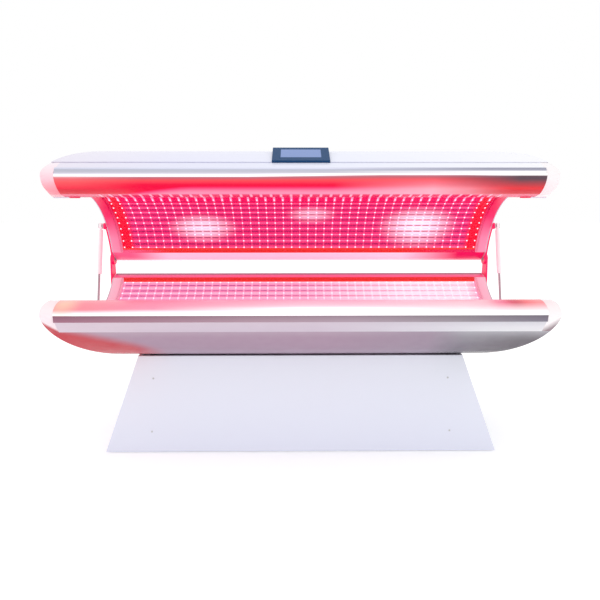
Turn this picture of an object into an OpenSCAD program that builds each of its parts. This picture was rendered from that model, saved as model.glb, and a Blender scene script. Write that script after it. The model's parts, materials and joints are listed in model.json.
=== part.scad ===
// Red light therapy bed: a clamshell light bed on a pedestal, canopy standing open.
// Lengths are millimetres. Profiles are drawn in (u, z), where u runs back from the
// front nose of the bed and z rises from the floor. +X is to the right.

/* [Overall] */
// Length from end cap to end cap
total_l = 1940; // [1800:10:2100]
// Depth of the bed, front nose to rear nose
depth = 860; // [840:5:900]
// Height of the plane midway between the closed halves
closing_z = 685; // [680:1:700]
// Angle that the canopy stands open
open_angle = 28; // [20:1:30]

/* [Hull] */
// Height of the bed's front nose
nose_z = 603; // [595:1:608]
// Drop from the nose to the flat underside of the bed
bed_drop = 218; // [210:1:230]
// Rise from the nose to the flat top of the canopy, when closed
canopy_drop = 233; // [215:1:245]
// Distance back from the nose at which the hull turns flat
hull_run = 270; // [255:1:300]
// Length of the swept-up end of the hull
end_sweep = 289; // [270:1:320]
// Wall of the moulded shells
shell_wall = 4; // [3:0.5:5]
// Distance that the front corners stand out past the end walls
ear_l = 58; // [50:1:65]
// Depth of a front corner before it blends into the end wall
ear_depth = 150; // [140:1:180]
// Length of that blend
ear_blend = 80; // [60:1:100]

/* [Rails] */
// Height of the crest of the front rail
crest_z = 648; // [640:1:655]
// Distance from the nose back to the crest
crest_run = 87; // [75:1:100]
// Wall of the rail extrusions
rail_wall = 3.5; // [2.5:0.5:5]
// Height of the accent strip in the nose
accent_h = 26; // [22:1:30]
// Thickness of the accent strip
accent_t = 6; // [4:0.5:8]
// Depth that the accent strip lies back from the nose
accent_recess = 3; // [2:0.5:4]
// Length of an end cap
cap_l = 49; // [40:1:52]
// Wall of an end cap
cap_wall = 3; // [2:0.5:4]
// Corner radius of an end cap
cap_round = 14; // [8:1:20]

/* [Light trough] */
// Half width of the trough at its rim
trough_half = 295; // [285:1:300]
// Radius of the curved acrylic surface
arc_r = 397; // [380:1:420]
// Height of the lowest point of that surface
trough_z = 513; // [505:1:520]
// Thickness of the acrylic sheet
acrylic_t = 6; // [4:0.5:8]
// Air gap between the acrylic and the light strips
strip_gap = 7; // [6:0.5:9]
// Thickness of a light strip's board
board_t = 1.6; // [1:0.2:2.4]
// Width of a light strip's board
strip_w = 22; // [16:1:26]
// Pitch of the light strips along the arc
row_pitch = 33.5; // [30:0.5:33.5]
// Number of light strips in one half
rows = 19; // [15:1:19]
// Thickness of the reflector tray
tray_t = 2; // [1:0.5:3]
// Width of an end rib, seen from the front
rib_w = 39; // [30:1:45]
// Depth of an end rib along its radius
rib_h = 34; // [24:1:36]
// Width of the ledge that the acrylic lies on
ledge_w = 8; // [6:1:12]

/* [Inside the halves] */
// Thickness of a former plate
former_t = 4; // [3:0.5:6]
// Distance of the inner pair of formers from the middle
former_inner_x = 200; // [180:5:220]
// Distance of the outer pair of formers from the middle
former_outer_x = 600; // [595:5:640]
// Distance of a cooling fan from the middle
fan_x = 400; // [380:5:420]
// Side of a fan's square frame
fan_w = 120; // [110:1:130]
// Thickness of a fan
fan_t = 25; // [22:1:30]
// Radius of a fan's axle
axle_r = 4; // [3:0.5:5]
// Number of fan blades
blades = 7; // [5:1:9]
// Length of a power supply
supply_l = 240; // [200:5:260]
// Width of a power supply
supply_w = 80; // [60:1:90]
// Height of a power supply
supply_h = 42; // [35:1:46]
// Distance of an outer power supply from the middle
supply_x = 530; // [510:5:550]
// Distance of an inner power supply from the centre line
supply_side = 60; // [50:1:70]
// Distance of a former's end from the inside of the rails
former_end = 30; // [20:1:40]
// Distance of a former's cable holes from the centre line
hole_side = 130; // [120:1:140]
// Height of a former's cable holes above the shell's floor
hole_rise = 52; // [45:1:60]
// Radius of a former's cable holes
hole_r = 20; // [15:1:25]

/* [Control panel] */
// Width of the control panel
panel_w = 224; // [200:1:250]
// Height of the control panel along its slope
panel_l = 150; // [130:1:160]
// Depth of the control panel's housing
panel_deep = 20; // [16:1:26]
// Place of its lower edge along the canopy's hull curve
panel_start = 0.33; // [0.32:0.01:0.36]
// Height of the control panel above the canopy's skin at its lower edge
panel_proud = 7; // [5:0.5:9]
// Width of the screen
screen_w = 158; // [140:1:180]
// Height of the screen along its slope
screen_l = 90; // [75:1:100]
// Thickness of the screen
screen_t = 3; // [2:0.5:4]
// Distance of the screen above the middle of the control panel
screen_rise = 6; // [0:1:10]
// Slope of the control panel on the closed canopy
panel_slope = 50; // [46:1:54]

/* [Hinge and struts] */
// Distance of the hinge axis behind the middle
hinge_back = 345.5; // [340:0.5:355]
// Height of the hinge axis above the closing plane
hinge_rise = 35; // [30:1:40]
// Radius of the hinge pin
pin_r = 10; // [8:0.5:12]
// Wall of the hinge bush
bush_wall = 4; // [3:0.5:5]
// Thickness of the hinge plates
plate_t = 8; // [6:0.5:10]
// Radius of the eye round the hinge pin
eye_r = 26; // [24:1:32]
// Width of a hinge arm
arm_w = 40; // [36:1:44]
// Width of a hinge bracket's foot
bracket_w = 70; // [60:1:80]
// Height of that foot
bracket_h = 80; // [70:1:85]
// Height of that foot's lower edge above the seam
bracket_rise = 12; // [6:1:16]
// Gap between a hinge arm and its bracket
plate_gap = 1.5; // [1:0.5:3]
// Distance of the lower strut stud behind the middle
low_stud_back = 106; // [90:1:120]
// Height of the lower strut stud
low_stud_z = 490; // [486:1:500]
// Distance of the upper strut stud behind the middle, canopy closed
high_stud_back = 163; // [155:1:170]
// Height of the upper strut stud above the closing plane, canopy closed
high_stud_rise = 131; // [125:1:145]
// Radius of the strut studs
stud_r = 5; // [4:0.5:6]
// Radius of the gas cylinder
cylinder_r = 11; // [10:0.5:12]
// Length of the gas cylinder
cylinder_l = 208; // [200:1:215]
// Radius of the piston rod
rod_r = 5; // [4:0.5:6]
// Clearance round the upper stud in the cylinder's eye
open_pivot_gap = 3.8; // [3.5:0.1:4.5]
// Running clearance on shafts
running_gap = 0.05; // [0.03:0.01:0.1]

/* [Pedestal] */
// Height of the pedestal panels' top edge
pedestal_h = 378; // [370:1:382]
// Half length of the pedestal at the floor
foot_half_l = 803; // [780:1:830]
// Half length of the pedestal at its top
top_half_l = 681; // [660:1:700]
// Distance of the pedestal's foot behind the nose
foot_u = 128; // [110:1:140]
// Distance of the pedestal's top behind the nose
top_u = 248; // [240:1:256]
// Thickness of the pedestal panels
board = 12; // [9:0.5:18]
// Gap under the pedestal panels
floor_gap = 5; // [3:1:10]
// Side of the square frame tube
tube = 40; // [30:1:45]
// Wall of the square frame tube
tube_wall = 2; // [1.5:0.5:3]
// Radius of a levelling foot
foot_r = 24; // [18:1:28]
// Distance of the shadow spacer inside the pedestal's top edge
spacer_in = 20; // [14:1:30]
// Height of the upper row of panel screws
screw_high_z = 289; // [270:1:300]
// Height of the lower row of panel screws
screw_low_z = 82; // [70:1:100]
// Distance of the panel screws inside the pedestal's top corners
screw_in = 66; // [60:1:80]

/* [Power inlet] */
// Distance of the power inlet inside the panel screws
inlet_in = 135; // [100:5:175]
// Height of the power inlet
inlet_z = 110; // [100:1:140]

/* [Hidden] */
$fn = 96;

// Seat clearance between fixed pieces
fit = 0.2;
// Clearance under a plate that lies on a sloping panel
seat_gap = 0.05;
// Margin by which a cut runs past what it cuts
past = 1;

half_l = total_l / 2;
body_half = half_l - ear_l;
inner_half = body_half - shell_wall;
light_half = inner_half - rib_w;
rail_half = half_l - cap_l;
mid_u = depth / 2;
rail_depth = mid_u - trough_half;
arc_z = trough_z + arc_r;
acrylic_out = arc_r + acrylic_t;
rim_z = arc_z - sqrt(acrylic_out * acrylic_out - trough_half * trough_half);
hinge_u = mid_u + hinge_back;
hinge_z = closing_z + hinge_rise;
low_stud_u = mid_u + low_stud_back;
high_stud_u = mid_u + high_stud_back;
high_stud_z = closing_z + high_stud_rise;
screw_x = top_half_l - screw_in;
inlet_x = screw_x - inlet_in;
// Radii of the layers below the acrylic
board_back = acrylic_out + strip_gap + board_t;
tray_in = sqrt(board_back * board_back + strip_w * strip_w / 4) + seat_gap;
tray_out = tray_in + tray_t;
row_angle = row_pitch / arc_r * 180 / PI;
// Steps along a curved outline
steps = 20;
round_steps = 12;
// Angle of the bullnose that is left to the hull's curve at the nose
nose_angle = 6;
// Lead of the hull curve below the nose and before the flat
nose_lead = 24;
flat_lead = 110;
// Places along the hull curve: end of the accent strip and of the rail's band
accent_t_end = 0.17;
seam_t = 0.35;
seam_z = hull_point(seam_t, bed_drop, 0)[1];
// Share of the accent strip's height that lies below the nose
accent_share = 0.92;
accent_low_z = nose_z - accent_share * accent_h;
accent_high_z = accent_low_z + accent_h;
// The open canopy's rear face is the rearmost part of the whole bed
back_reach = max([for (p = concat(hull_curve(0, 1, canopy_drop, 0), hull_curve(0, seam_t, bed_drop, 0)))
    opened(depth - p[0], 2 * closing_z - p[1])[0]]);
origin_u = back_reach / 2;

// Point on the hull curve from the nose (t = 0) to the flat (t = 1)
function hull_point(t, drop, inset) =
    let (
        a = pow(1 - t, 3), b = 3 * pow(1 - t, 2) * t,
        c = 3 * (1 - t) * t * t, d = t * t * t,
        low = nose_z - drop + inset
    )
    [
        (a + b) * inset + c * (hull_run - flat_lead) + d * hull_run,
        a * nose_z + b * (nose_z - nose_lead) + (c + d) * low
    ];

// Point on the bullnose, from the nose (angle 0) to the crest (angle 90)
function bullnose_point(angle, inset) = [
    crest_run - (crest_run - inset) * cos(angle),
    nose_z + (crest_z - nose_z - inset) * sin(angle)
];

function hull_curve(t0, t1, drop, inset) =
    [for (i = [0:steps]) hull_point(t0 + (t1 - t0) * i / steps, drop, inset)];

function bullnose(a0, a1, inset) =
    [for (i = [0:round_steps]) bullnose_point(a0 + (a1 - a0) * i / round_steps, inset)];

function turned(points) = [for (i = [len(points) - 1:-1:0]) points[i]];

function rearward(points) = [for (p = points) [depth - p[0], p[1]]];

// Angle on the bullnose at a height
function bullnose_angle(z) = asin((z - nose_z) / (crest_z - nose_z));

// Place of a closed-canopy point once the canopy stands open
function opened(u, z) = [
    hinge_u + (u - hinge_u) * cos(open_angle) + (z - hinge_z) * sin(open_angle),
    hinge_z - (u - hinge_u) * sin(open_angle) + (z - hinge_z) * cos(open_angle)
];

// Extrudes a (u, z) outline along X
module along_x(x0, x1) {
    translate([x0, 0, 0]) rotate([90, 0, 90]) linear_extrude(x1 - x0) children();
}

// Extrudes an (x, z) outline along the depth
module along_u(u0, u1) {
    translate([0, u1, 0]) rotate([90, 0, 0]) linear_extrude(u1 - u0) children();
}

// Moves the drawing frame to the part's frame
module placed() {
    translate([0, -origin_u, 0]) children();
}

// Turns a bed-half piece over into the open canopy
module in_canopy() {
    placed()
        translate([0, hinge_u, hinge_z]) rotate([-open_angle, 0, 0])
            translate([0, -hinge_u, -hinge_z]) children();
}

module flipped() {
    translate([0, 0, 2 * closing_z]) mirror([0, 0, 1]) children();
}

module canopy_half() {
    in_canopy() flipped() children();
}

module left_side() {
    mirror([1, 0, 0]) children();
}

// Cylinder along X, about the trough's centre line
module trough_cylinder(r, x0, x1) {
    translate([x0, mid_u, arc_z]) rotate([0, 90, 0]) cylinder(r = r, h = x1 - x0, $fn = 240);
}

// Cylinder along X at a place in the profile
module x_cylinder(u, z, r, x0, x1) {
    translate([x0, u, z]) rotate([0, 90, 0]) cylinder(r = r, h = x1 - x0);
}

// Whole cross-section of a half, before the trough is cut
module half_outline(drop, inset) {
    front = concat(
        turned(hull_curve(0, 1, drop, inset)),
        bullnose(nose_angle, 90, inset),
        [[rail_depth, rim_z - inset]]
    );
    polygon(concat(front, turned(rearward(front))));
}

// Cross-section of the space inside the shell, open upward
module inside_outline(drop) {
    front = concat(
        turned(hull_curve(0, 1, drop, shell_wall)),
        [[shell_wall, crest_z + 2 * past]]
    );
    polygon(concat(front, turned(rearward(front))));
}

// Front elevation of the hull, with its swept-up ends
module hull_elevation(drop, inset) {
    sweep = [for (i = [0:steps])
        let (angle = 90 * i / steps)
        [
            half_l - end_sweep + (end_sweep - inset) * sin(angle),
            nose_z - (drop - inset) * cos(angle)
        ]];
    right = concat(sweep, [[half_l - inset, crest_z + past]]);
    polygon(concat(right, [for (p = turned(right)) [-p[0], p[1]]]));
}

// Plan of the hull, wide at the front corners and narrow behind
module hull_plan(inset) {
    blend = [for (i = [0:round_steps])
        let (share = i / round_steps)
        [
            body_half - inset + ear_l * (1 + cos(180 * share)) / 2,
            ear_depth - inset + ear_blend * share
        ]];
    right = concat([[half_l - inset, -past]], blend, [[body_half - inset, depth + past]]);
    polygon(concat(right, [for (p = turned(right)) [-p[0], p[1]]]));
}

module hull_solid(drop) {
    intersection() {
        along_x(-half_l - past, half_l + past) half_outline(drop, 0);
        along_u(-past, depth + past) hull_elevation(drop, 0);
        linear_extrude(crest_z + past) hull_plan(0);
    }
}

// Space inside a shell: open upward between the end walls, roofed in the front corners
module hull_inside(drop) {
    difference() {
        intersection() {
            along_x(-half_l, half_l) inside_outline(drop);
            along_u(-past, depth + past) hull_elevation(drop, shell_wall);
            linear_extrude(crest_z + 3 * past) hull_plan(shell_wall);
        }
        for (side = [-1, 1])
            translate([side * (inner_half + half_l / 2) - half_l / 2, -past, seam_z - shell_wall])
                cube([half_l, depth + 2 * past, crest_z]);
    }
}

// Space that a rail takes out of the shell
module rail_space(x_half) {
    translate([-x_half, -past, seam_z])
        cube([2 * x_half, rail_depth + past, crest_z - seam_z + past]);
}

module vent_slots(drop) {
    slot_l = fan_w * 0.75;
    slot_pitch = 14;
    slot_w = 7;
    for (side = [-1, 1], i = [-3:3])
        translate([side * fan_x + i * slot_pitch - slot_w / 2, mid_u - slot_l / 2, nose_z - drop - past])
            cube([slot_w, slot_l, shell_wall + 2 * past]);
}

module shell(drop) {
    difference() {
        hull_solid(drop);
        hull_inside(drop);
        trough_cylinder(arc_r, -half_l - past, half_l + past);
        rail_space(half_l + past);
        translate([0, depth, 0]) mirror([0, 1, 0]) rail_space(inner_half);
        vent_slots(drop);
    }
}

// Bullnose extrusion with the seat of the accent strip in its nose
module front_rail() {
    seat = accent_recess + accent_t;
    high = bullnose_angle(accent_high_z);
    along_x(-rail_half, rail_half) difference() {
        polygon(concat(
            [[seat, accent_low_z], [seat, accent_high_z]],
            bullnose(high, 90, 0),
            [[rail_depth, rim_z], [rail_depth, accent_low_z]]
        ));
        polygon(concat(
            [[seat + rail_wall, accent_low_z + rail_wall],
                [seat + rail_wall, accent_high_z + rail_wall]],
            bullnose(high + 2 * nose_angle, 90, rail_wall),
            [[rail_depth - rail_wall, rim_z - rail_wall],
                [rail_depth - rail_wall, accent_low_z + rail_wall]]
        ));
    }
}

module accent_strip() {
    along_x(-rail_half, rail_half)
        translate([accent_recess, accent_low_z + fit])
            square([accent_t, accent_h - 2 * fit]);
}

// Metal band between the accent strip and the shell
module front_band() {
    inner_start = accent_t_end + 0.05;
    inner_end = seam_t - 0.02;
    outer = hull_curve(accent_t_end, seam_t, bed_drop, 0);
    inner = hull_curve(inner_start, inner_end, bed_drop, rail_wall);
    along_x(-rail_half, rail_half) difference() {
        polygon(concat(
            [[outer[0][0], accent_low_z]], outer,
            [[rail_depth, seam_z], [rail_depth, accent_low_z]]
        ));
        polygon(concat(
            [[inner[0][0] + rail_wall, accent_low_z - rail_wall]],
            [for (p = inner) [p[0] + rail_wall, max(p[1], seam_z + rail_wall)]],
            [[rail_depth - rail_wall, seam_z + rail_wall],
                [rail_depth - rail_wall, accent_low_z - rail_wall]]
        ));
    }
}

// Outline of the front rail and its band together
module rail_outline(inset) {
    curve = [for (p = turned(hull_curve(0, seam_t, bed_drop, inset)))
        [p[0], max(p[1], seam_z + inset)]];
    polygon(concat(
        [[rail_depth - inset, seam_z + inset]], curve,
        bullnose(nose_angle, 90, inset), [[rail_depth - inset, rim_z - inset]]
    ));
}

module rear_rail() {
    translate([0, depth, 0]) mirror([0, 1, 0])
        along_x(-inner_half, inner_half) difference() {
            rail_outline(0);
            rail_outline(rail_wall);
        }
}

// Front elevation of an end cap: the hull's sweep and a rounded top corner
module cap_elevation() {
    sweep = [for (i = [0:steps])
        let (angle = 90 * i / steps)
        [
            half_l - end_sweep + end_sweep * sin(angle),
            nose_z - bed_drop * cos(angle)
        ]];
    corner = [for (i = [0:round_steps])
        let (angle = 90 * i / round_steps)
        [
            half_l - cap_round + cap_round * cos(angle),
            crest_z + past - cap_round + cap_round * sin(angle)
        ]];
    polygon(concat(sweep, corner, [[half_l - end_sweep, crest_z + past]]));
}

module cap() {
    difference() {
        intersection() {
            along_x(rail_half + fit, half_l + past) rail_outline(0);
            along_u(-past, depth) cap_elevation();
        }
        along_x(rail_half, half_l - cap_wall - cap_round) rail_outline(cap_wall);
    }
}

module rib() {
    intersection() {
        union() {
            difference() {
                trough_cylinder(arc_r + rib_h, light_half, inner_half);
                trough_cylinder(arc_r, light_half - past, inner_half + past);
            }
            difference() {
                trough_cylinder(arc_r + rib_h, light_half - ledge_w, light_half + past);
                trough_cylinder(acrylic_out + fit, light_half - ledge_w - past, light_half + 2 * past);
                trough_cylinder(arc_r, light_half - ledge_w - past, light_half + 2 * past);
            }
        }
        translate([0, rail_depth + fit, nose_z - bed_drop])
            cube([half_l, 2 * (trough_half - fit), rim_z - nose_z + bed_drop]);
    }
}

module acrylic() {
    intersection() {
        difference() {
            trough_cylinder(acrylic_out, -light_half + fit, light_half - fit);
            trough_cylinder(arc_r, -half_l, half_l);
        }
        translate([-half_l, rail_depth + fit, 0]) cube([total_l, 2 * (trough_half - fit), rim_z]);
    }
}

// One flat board lying at an angle round the trough
module light_strip(angle) {
    translate([0, mid_u, arc_z]) rotate([angle, 0, 0])
        translate([-light_half + ledge_w + past, -strip_w / 2, -board_back])
            cube([2 * (light_half - ledge_w - past), strip_w, board_t]);
}

module light_strips() {
    for (i = [0:rows - 1])
        light_strip((i - (rows - 1) / 2) * row_angle);
}

// The tray is one bent sheet that the boards' edges rest on
module reflector_tray() {
    x_half = light_half - ledge_w - past;
    end_gap = 2;
    side = trough_half - end_gap;
    intersection() {
        difference() {
            trough_cylinder(tray_out, -x_half, x_half);
            trough_cylinder(tray_in, -half_l, half_l);
        }
        translate([-half_l, mid_u - side, nose_z - bed_drop]) cube([total_l, 2 * side, tray_out]);
    }
}

module former(drop) {
    seat_r = tray_out + fit;
    floor_z = nose_z - drop + shell_wall;
    former_half = trough_half - shell_wall - former_end;
    difference() {
        intersection() {
            along_x(-former_t / 2, former_t / 2) inside_outline(drop);
            translate([-former_t, mid_u - former_half, floor_z])
                cube([2 * former_t, 2 * former_half, seam_z - floor_z]);
        }
        translate([-half_l, 0, 0]) trough_cylinder(seat_r, 0, total_l);
        for (side = [-1, 1])
            x_cylinder(mid_u + side * hole_side, floor_z + hole_rise, hole_r, -former_t, former_t);
    }
}

module formers(drop) {
    for (x = [-former_outer_x, -former_inner_x, former_inner_x, former_outer_x])
        translate([x, 0, 0]) former(drop);
}

module power_supplies(drop) {
    floor_z = nose_z - drop + shell_wall;
    for (side = [-1, 1]) {
        translate([-supply_l / 2, mid_u + side * supply_side - supply_w / 2, floor_z])
            cube([supply_l, supply_w, supply_h]);
        translate([side * supply_x - supply_w / 2, mid_u - supply_l / 2, floor_z])
            cube([supply_w, supply_l, supply_h]);
    }
}

// Wall of a fan frame at its thinnest, and the height of its spokes
fan_rim = 2;
spoke_t = 3;

module fan_frame(drop) {
    floor_z = nose_z - drop + shell_wall;
    bore_r = fan_w / 2 - fan_rim;
    spoke_w = 8;
    translate([0, mid_u, floor_z]) {
        difference() {
            translate([-fan_w / 2, -fan_w / 2, 0]) cube([fan_w, fan_w, fan_t]);
            translate([0, 0, -past]) cylinder(r = bore_r, h = fan_t + 2 * past);
        }
        for (angle = [0, 90])
            rotate([0, 0, angle]) translate([-bore_r - past, -spoke_w / 2, 0])
                cube([2 * (bore_r + past), spoke_w, spoke_t]);
        cylinder(r = 3 * axle_r, h = spoke_t + past);
        cylinder(r = axle_r, h = fan_t - past);
    }
}

module fan_rotor(drop) {
    floor_z = nose_z - drop + shell_wall;
    hub_r = fan_w / 6;
    tip_gap = 3;
    tip_r = fan_w / 2 - fan_rim - tip_gap;
    end_gap = 2.5;
    low = spoke_t + end_gap;
    hub_h = fan_t - low - end_gap;
    blade_t = 2;
    blade_angle = 40;
    translate([0, mid_u, floor_z + low]) difference() {
        union() {
            cylinder(r = hub_r, h = hub_h);
            intersection() {
                cylinder(r = tip_r, h = hub_h);
                for (i = [0:blades - 1])
                    rotate([0, 0, 360 * i / blades]) translate([hub_r - 2, 0, hub_h / 2])
                        rotate([blade_angle, 0, 0]) translate([0, -hub_h, -blade_t / 2])
                            cube([tip_r, 2 * hub_h, blade_t]);
            }
        }
        translate([0, 0, -past]) cylinder(r = axle_r + running_gap, h = hub_h + 2 * past);
    }
}

// Control panel, drawn on the closed canopy, set into the shell and the band below it
module on_panel() {
    low = hull_point(panel_start, canopy_drop, 0);
    translate([0, low[0], 2 * closing_z - low[1]]) rotate([panel_slope, 0, 0]) children();
}

module panel_block(grow) {
    on_panel() translate([-panel_w / 2 - grow, -grow, panel_proud - panel_deep])
        cube([panel_w + 2 * grow, panel_l + 2 * grow, panel_deep + grow]);
}

module screen_block(grow) {
    screen_low = (panel_l - screen_l) / 2 + screen_rise;
    on_panel() translate([-screen_w / 2 - grow, screen_low - grow, panel_proud - screen_t - grow])
        cube([screen_w + 2 * grow, screen_l + 2 * grow, screen_t + 2 * grow]);
}

module hinge_arm() {
    arm_x = body_half + fit;
    arc_low = 2 * closing_z - arc_z;
    ring_in = arc_r + 2 * past;
    ring_out = ring_in + arm_w;
    tab_r = 3 * stud_r;
    pin_angle = atan2(hinge_z - arc_low, hinge_u - mid_u);
    stud_angle = atan2(high_stud_z - arc_low, high_stud_u - mid_u);
    reach = 2 * arc_r;
    along_x(arm_x, arm_x + plate_t) difference() {
        union() {
            intersection() {
                translate([mid_u, arc_low]) difference() {
                    circle(r = ring_out, $fn = 240);
                    circle(r = ring_in, $fn = 240);
                }
                translate([mid_u, arc_low]) polygon([
                    [0, 0], reach * [cos(pin_angle), sin(pin_angle)],
                    reach * [cos(stud_angle), sin(stud_angle)]
                ]);
            }
            translate([hinge_u, hinge_z]) circle(r = eye_r);
            translate([high_stud_u, high_stud_z]) circle(r = tab_r);
        }
        translate([hinge_u, hinge_z]) circle(r = pin_r + bush_wall);
    }
}

module hinge_bush() {
    difference() {
        x_cylinder(hinge_u, hinge_z, pin_r + bush_wall, body_half + fit, body_half + fit + plate_t);
        x_cylinder(hinge_u, hinge_z, pin_r + running_gap, body_half, body_half + 2 * plate_t);
    }
}

bracket_x = body_half + fit + plate_t + plate_gap;

module hinge_bracket() {
    low_z = seam_z + bracket_rise;
    top_z = low_z + bracket_h;
    difference() {
        union() {
            translate([body_half, hinge_u - bracket_w / 2, low_z])
                cube([bracket_x + plate_t - body_half, bracket_w, bracket_h]);
            along_x(bracket_x, bracket_x + plate_t) union() {
                translate([hinge_u, hinge_z]) circle(r = eye_r);
                polygon([
                    [hinge_u - bracket_w / 2, top_z - past],
                    [hinge_u + bracket_w / 2, top_z - past],
                    [hinge_u + eye_r, hinge_z], [hinge_u - eye_r, hinge_z]
                ]);
            }
        }
        x_cylinder(hinge_u, hinge_z, pin_r, body_half - past, bracket_x + 2 * plate_t);
    }
}

module hinge_pin() {
    head_t = 4;
    head_r = 1.5 * pin_r;
    x_cylinder(hinge_u, hinge_z, pin_r, body_half + fit + past, bracket_x + plate_t);
    x_cylinder(hinge_u, hinge_z, head_r, bracket_x + plate_t, bracket_x + plate_t + head_t);
}

// Struts stand outside the hinge plates
strut_gap = 4;
strut_x = body_half + fit + plate_t + strut_gap + cylinder_r;
high_stud = opened(high_stud_u, high_stud_z);
strut_run = high_stud[0] - low_stud_u;
strut_rise = high_stud[1] - low_stud_z;
strut_l = sqrt(strut_run * strut_run + strut_rise * strut_rise);
strut_lean = atan2(strut_run, strut_rise);
eye_t = 12;

// Flanged stud with a retaining head, along X
module stud(u, z, base_x, head_r) {
    flange_t = 3;
    flange_r = 2.4 * stud_r;
    head_gap = 1;
    head_t = 3;
    head_x = strut_x + eye_t / 2 + head_gap;
    x_cylinder(u, z, flange_r, base_x, base_x + flange_t);
    x_cylinder(u, z, stud_r, base_x, head_x + past);
    x_cylinder(u, z, head_r, head_x, head_x + head_t);
}

module lower_stud() {
    stud(low_stud_u, low_stud_z, body_half, 2 * stud_r);
}

module upper_stud() {
    head_lap = 3;
    stud(high_stud_u, high_stud_z, body_half + fit + plate_t, stud_r + open_pivot_gap + head_lap);
}

// Strut pieces are drawn standing up from the lower stud, then leaned back
module on_strut() {
    translate([strut_x, low_stud_u, low_stud_z]) rotate([-strut_lean, 0, 0]) children();
}

low_eye_r = 2.3 * stud_r;
eye_wall = 5;
high_eye_r = stud_r + open_pivot_gap + eye_wall;
neck = 5;
cylinder_top = strut_l - high_eye_r - neck;
cylinder_low = cylinder_top - cylinder_l;
cylinder_wall = 1.5;
tube_in_r = cylinder_r - cylinder_wall;

module eye(r_out, r_in) {
    rotate([0, 90, 0]) difference() {
        cylinder(r = r_out, h = eye_t, center = true);
        cylinder(r = r_in, h = eye_t + 2 * past, center = true);
    }
}

module strut_rod() {
    overlap = 70;
    piston_l = 12;
    on_strut() {
        eye(low_eye_r, stud_r + running_gap);
        translate([0, 0, low_eye_r - past])
            cylinder(r = rod_r, h = cylinder_low + overlap - low_eye_r + past);
        translate([0, 0, cylinder_low + overlap - piston_l])
            cylinder(r = tube_in_r - running_gap, h = piston_l);
    }
}

module strut_cylinder() {
    cap_t = 8;
    gland_l = 14;
    neck_r = 6;
    on_strut() {
        difference() {
            translate([0, 0, cylinder_low]) cylinder(r = cylinder_r, h = cylinder_l);
            translate([0, 0, cylinder_low - past])
                cylinder(r = rod_r + running_gap, h = gland_l + 2 * past);
            translate([0, 0, cylinder_low + gland_l])
                cylinder(r = tube_in_r, h = cylinder_l - gland_l - cap_t);
        }
        translate([0, 0, cylinder_top - past]) cylinder(r = neck_r, h = neck + 3 * past);
        translate([0, 0, strut_l]) eye(high_eye_r, stud_r + open_pivot_gap);
    }
}

// Trapezoids of the pedestal: (u, z) along the depth and (x, z) along the length
module pedestal_depth(inset) {
    polygon([
        [foot_u + inset, 0], [depth - foot_u - inset, 0],
        [depth - top_u - inset, pedestal_h], [top_u + inset, pedestal_h]
    ]);
}

module pedestal_length(inset) {
    polygon([
        [-foot_half_l + inset, 0], [foot_half_l - inset, 0],
        [top_half_l - inset, pedestal_h], [-top_half_l + inset, pedestal_h]
    ]);
}

module pedestal_solid() {
    intersection() {
        along_x(-foot_half_l, foot_half_l) pedestal_depth(0);
        along_u(0, depth) pedestal_length(0);
        translate([-foot_half_l, 0, floor_gap]) cube([2 * foot_half_l, depth, pedestal_h]);
    }
}

// Slope of the front and back panels, and insets that leave panels of full thickness
side_slope = atan2(top_u - foot_u, pedestal_h);
panel_inset = board / cos(side_slope);
end_inset = board / cos(atan2(foot_half_l - top_half_l, pedestal_h));

module front_panel() {
    difference() {
        pedestal_solid();
        along_x(-foot_half_l - past, foot_half_l + past) polygon([
            [foot_u + panel_inset, 0], [depth, 0], [depth, pedestal_h + past],
            [top_u + panel_inset, pedestal_h + past], [top_u + panel_inset, pedestal_h]
        ]);
        screw_holes();
    }
}

module end_panel() {
    intersection() {
        difference() {
            pedestal_solid();
            along_u(-past, depth + past) pedestal_length(end_inset);
        }
        along_x(0, foot_half_l) pedestal_depth(panel_inset + fit);
    }
}

// Places on the front panel, at a height
module at_screws() {
    for (x = [-screw_x, screw_x], z = [screw_low_z, screw_high_z])
        translate([x, foot_u + (top_u - foot_u) * z / pedestal_h, z])
            rotate([90 - side_slope, 0, 0]) children();
}

screw_r = 2;

module screw_holes() {
    at_screws() translate([0, 0, -2 * board]) cylinder(r = screw_r + fit, h = 3 * board, $fn = 24);
}

module screws() {
    head_t = 1.5;
    bite = 8;
    at_screws() {
        translate([0, 0, -board - bite]) cylinder(r = screw_r, h = board + bite + past, $fn = 24);
        translate([0, 0, seat_gap]) cylinder(r = 2 * screw_r, h = head_t, $fn = 24);
    }
}

module rear_mirror() {
    translate([0, depth, 0]) mirror([0, 1, 0]) children();
}

module tube_x(x0, x1) {
    translate([x0, 0, 0]) difference() {
        cube([x1 - x0, tube, tube]);
        translate([-past, tube_wall, tube_wall])
            cube([x1 - x0 + 2 * past, tube - 2 * tube_wall, tube - 2 * tube_wall]);
    }
}

module tube_u(u0, u1) {
    translate([0, u0, 0]) difference() {
        cube([tube, u1 - u0, tube]);
        translate([tube_wall, -past, tube_wall])
            cube([tube - 2 * tube_wall, u1 - u0 + 2 * past, tube - 2 * tube_wall]);
    }
}

module tube_z(z0, z1) {
    translate([0, 0, z0]) difference() {
        cube([tube, tube, z1 - z0]);
        translate([tube_wall, tube_wall, -past])
            cube([tube - 2 * tube_wall, tube - 2 * tube_wall, z1 - z0 + 2 * past]);
    }
}

frame_half = screw_x + tube / 2;
frame_gap = 1;
frame_u = top_u + panel_inset + frame_gap;
frame_low = 24;
frame_back_u = depth - frame_u - tube;

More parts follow.
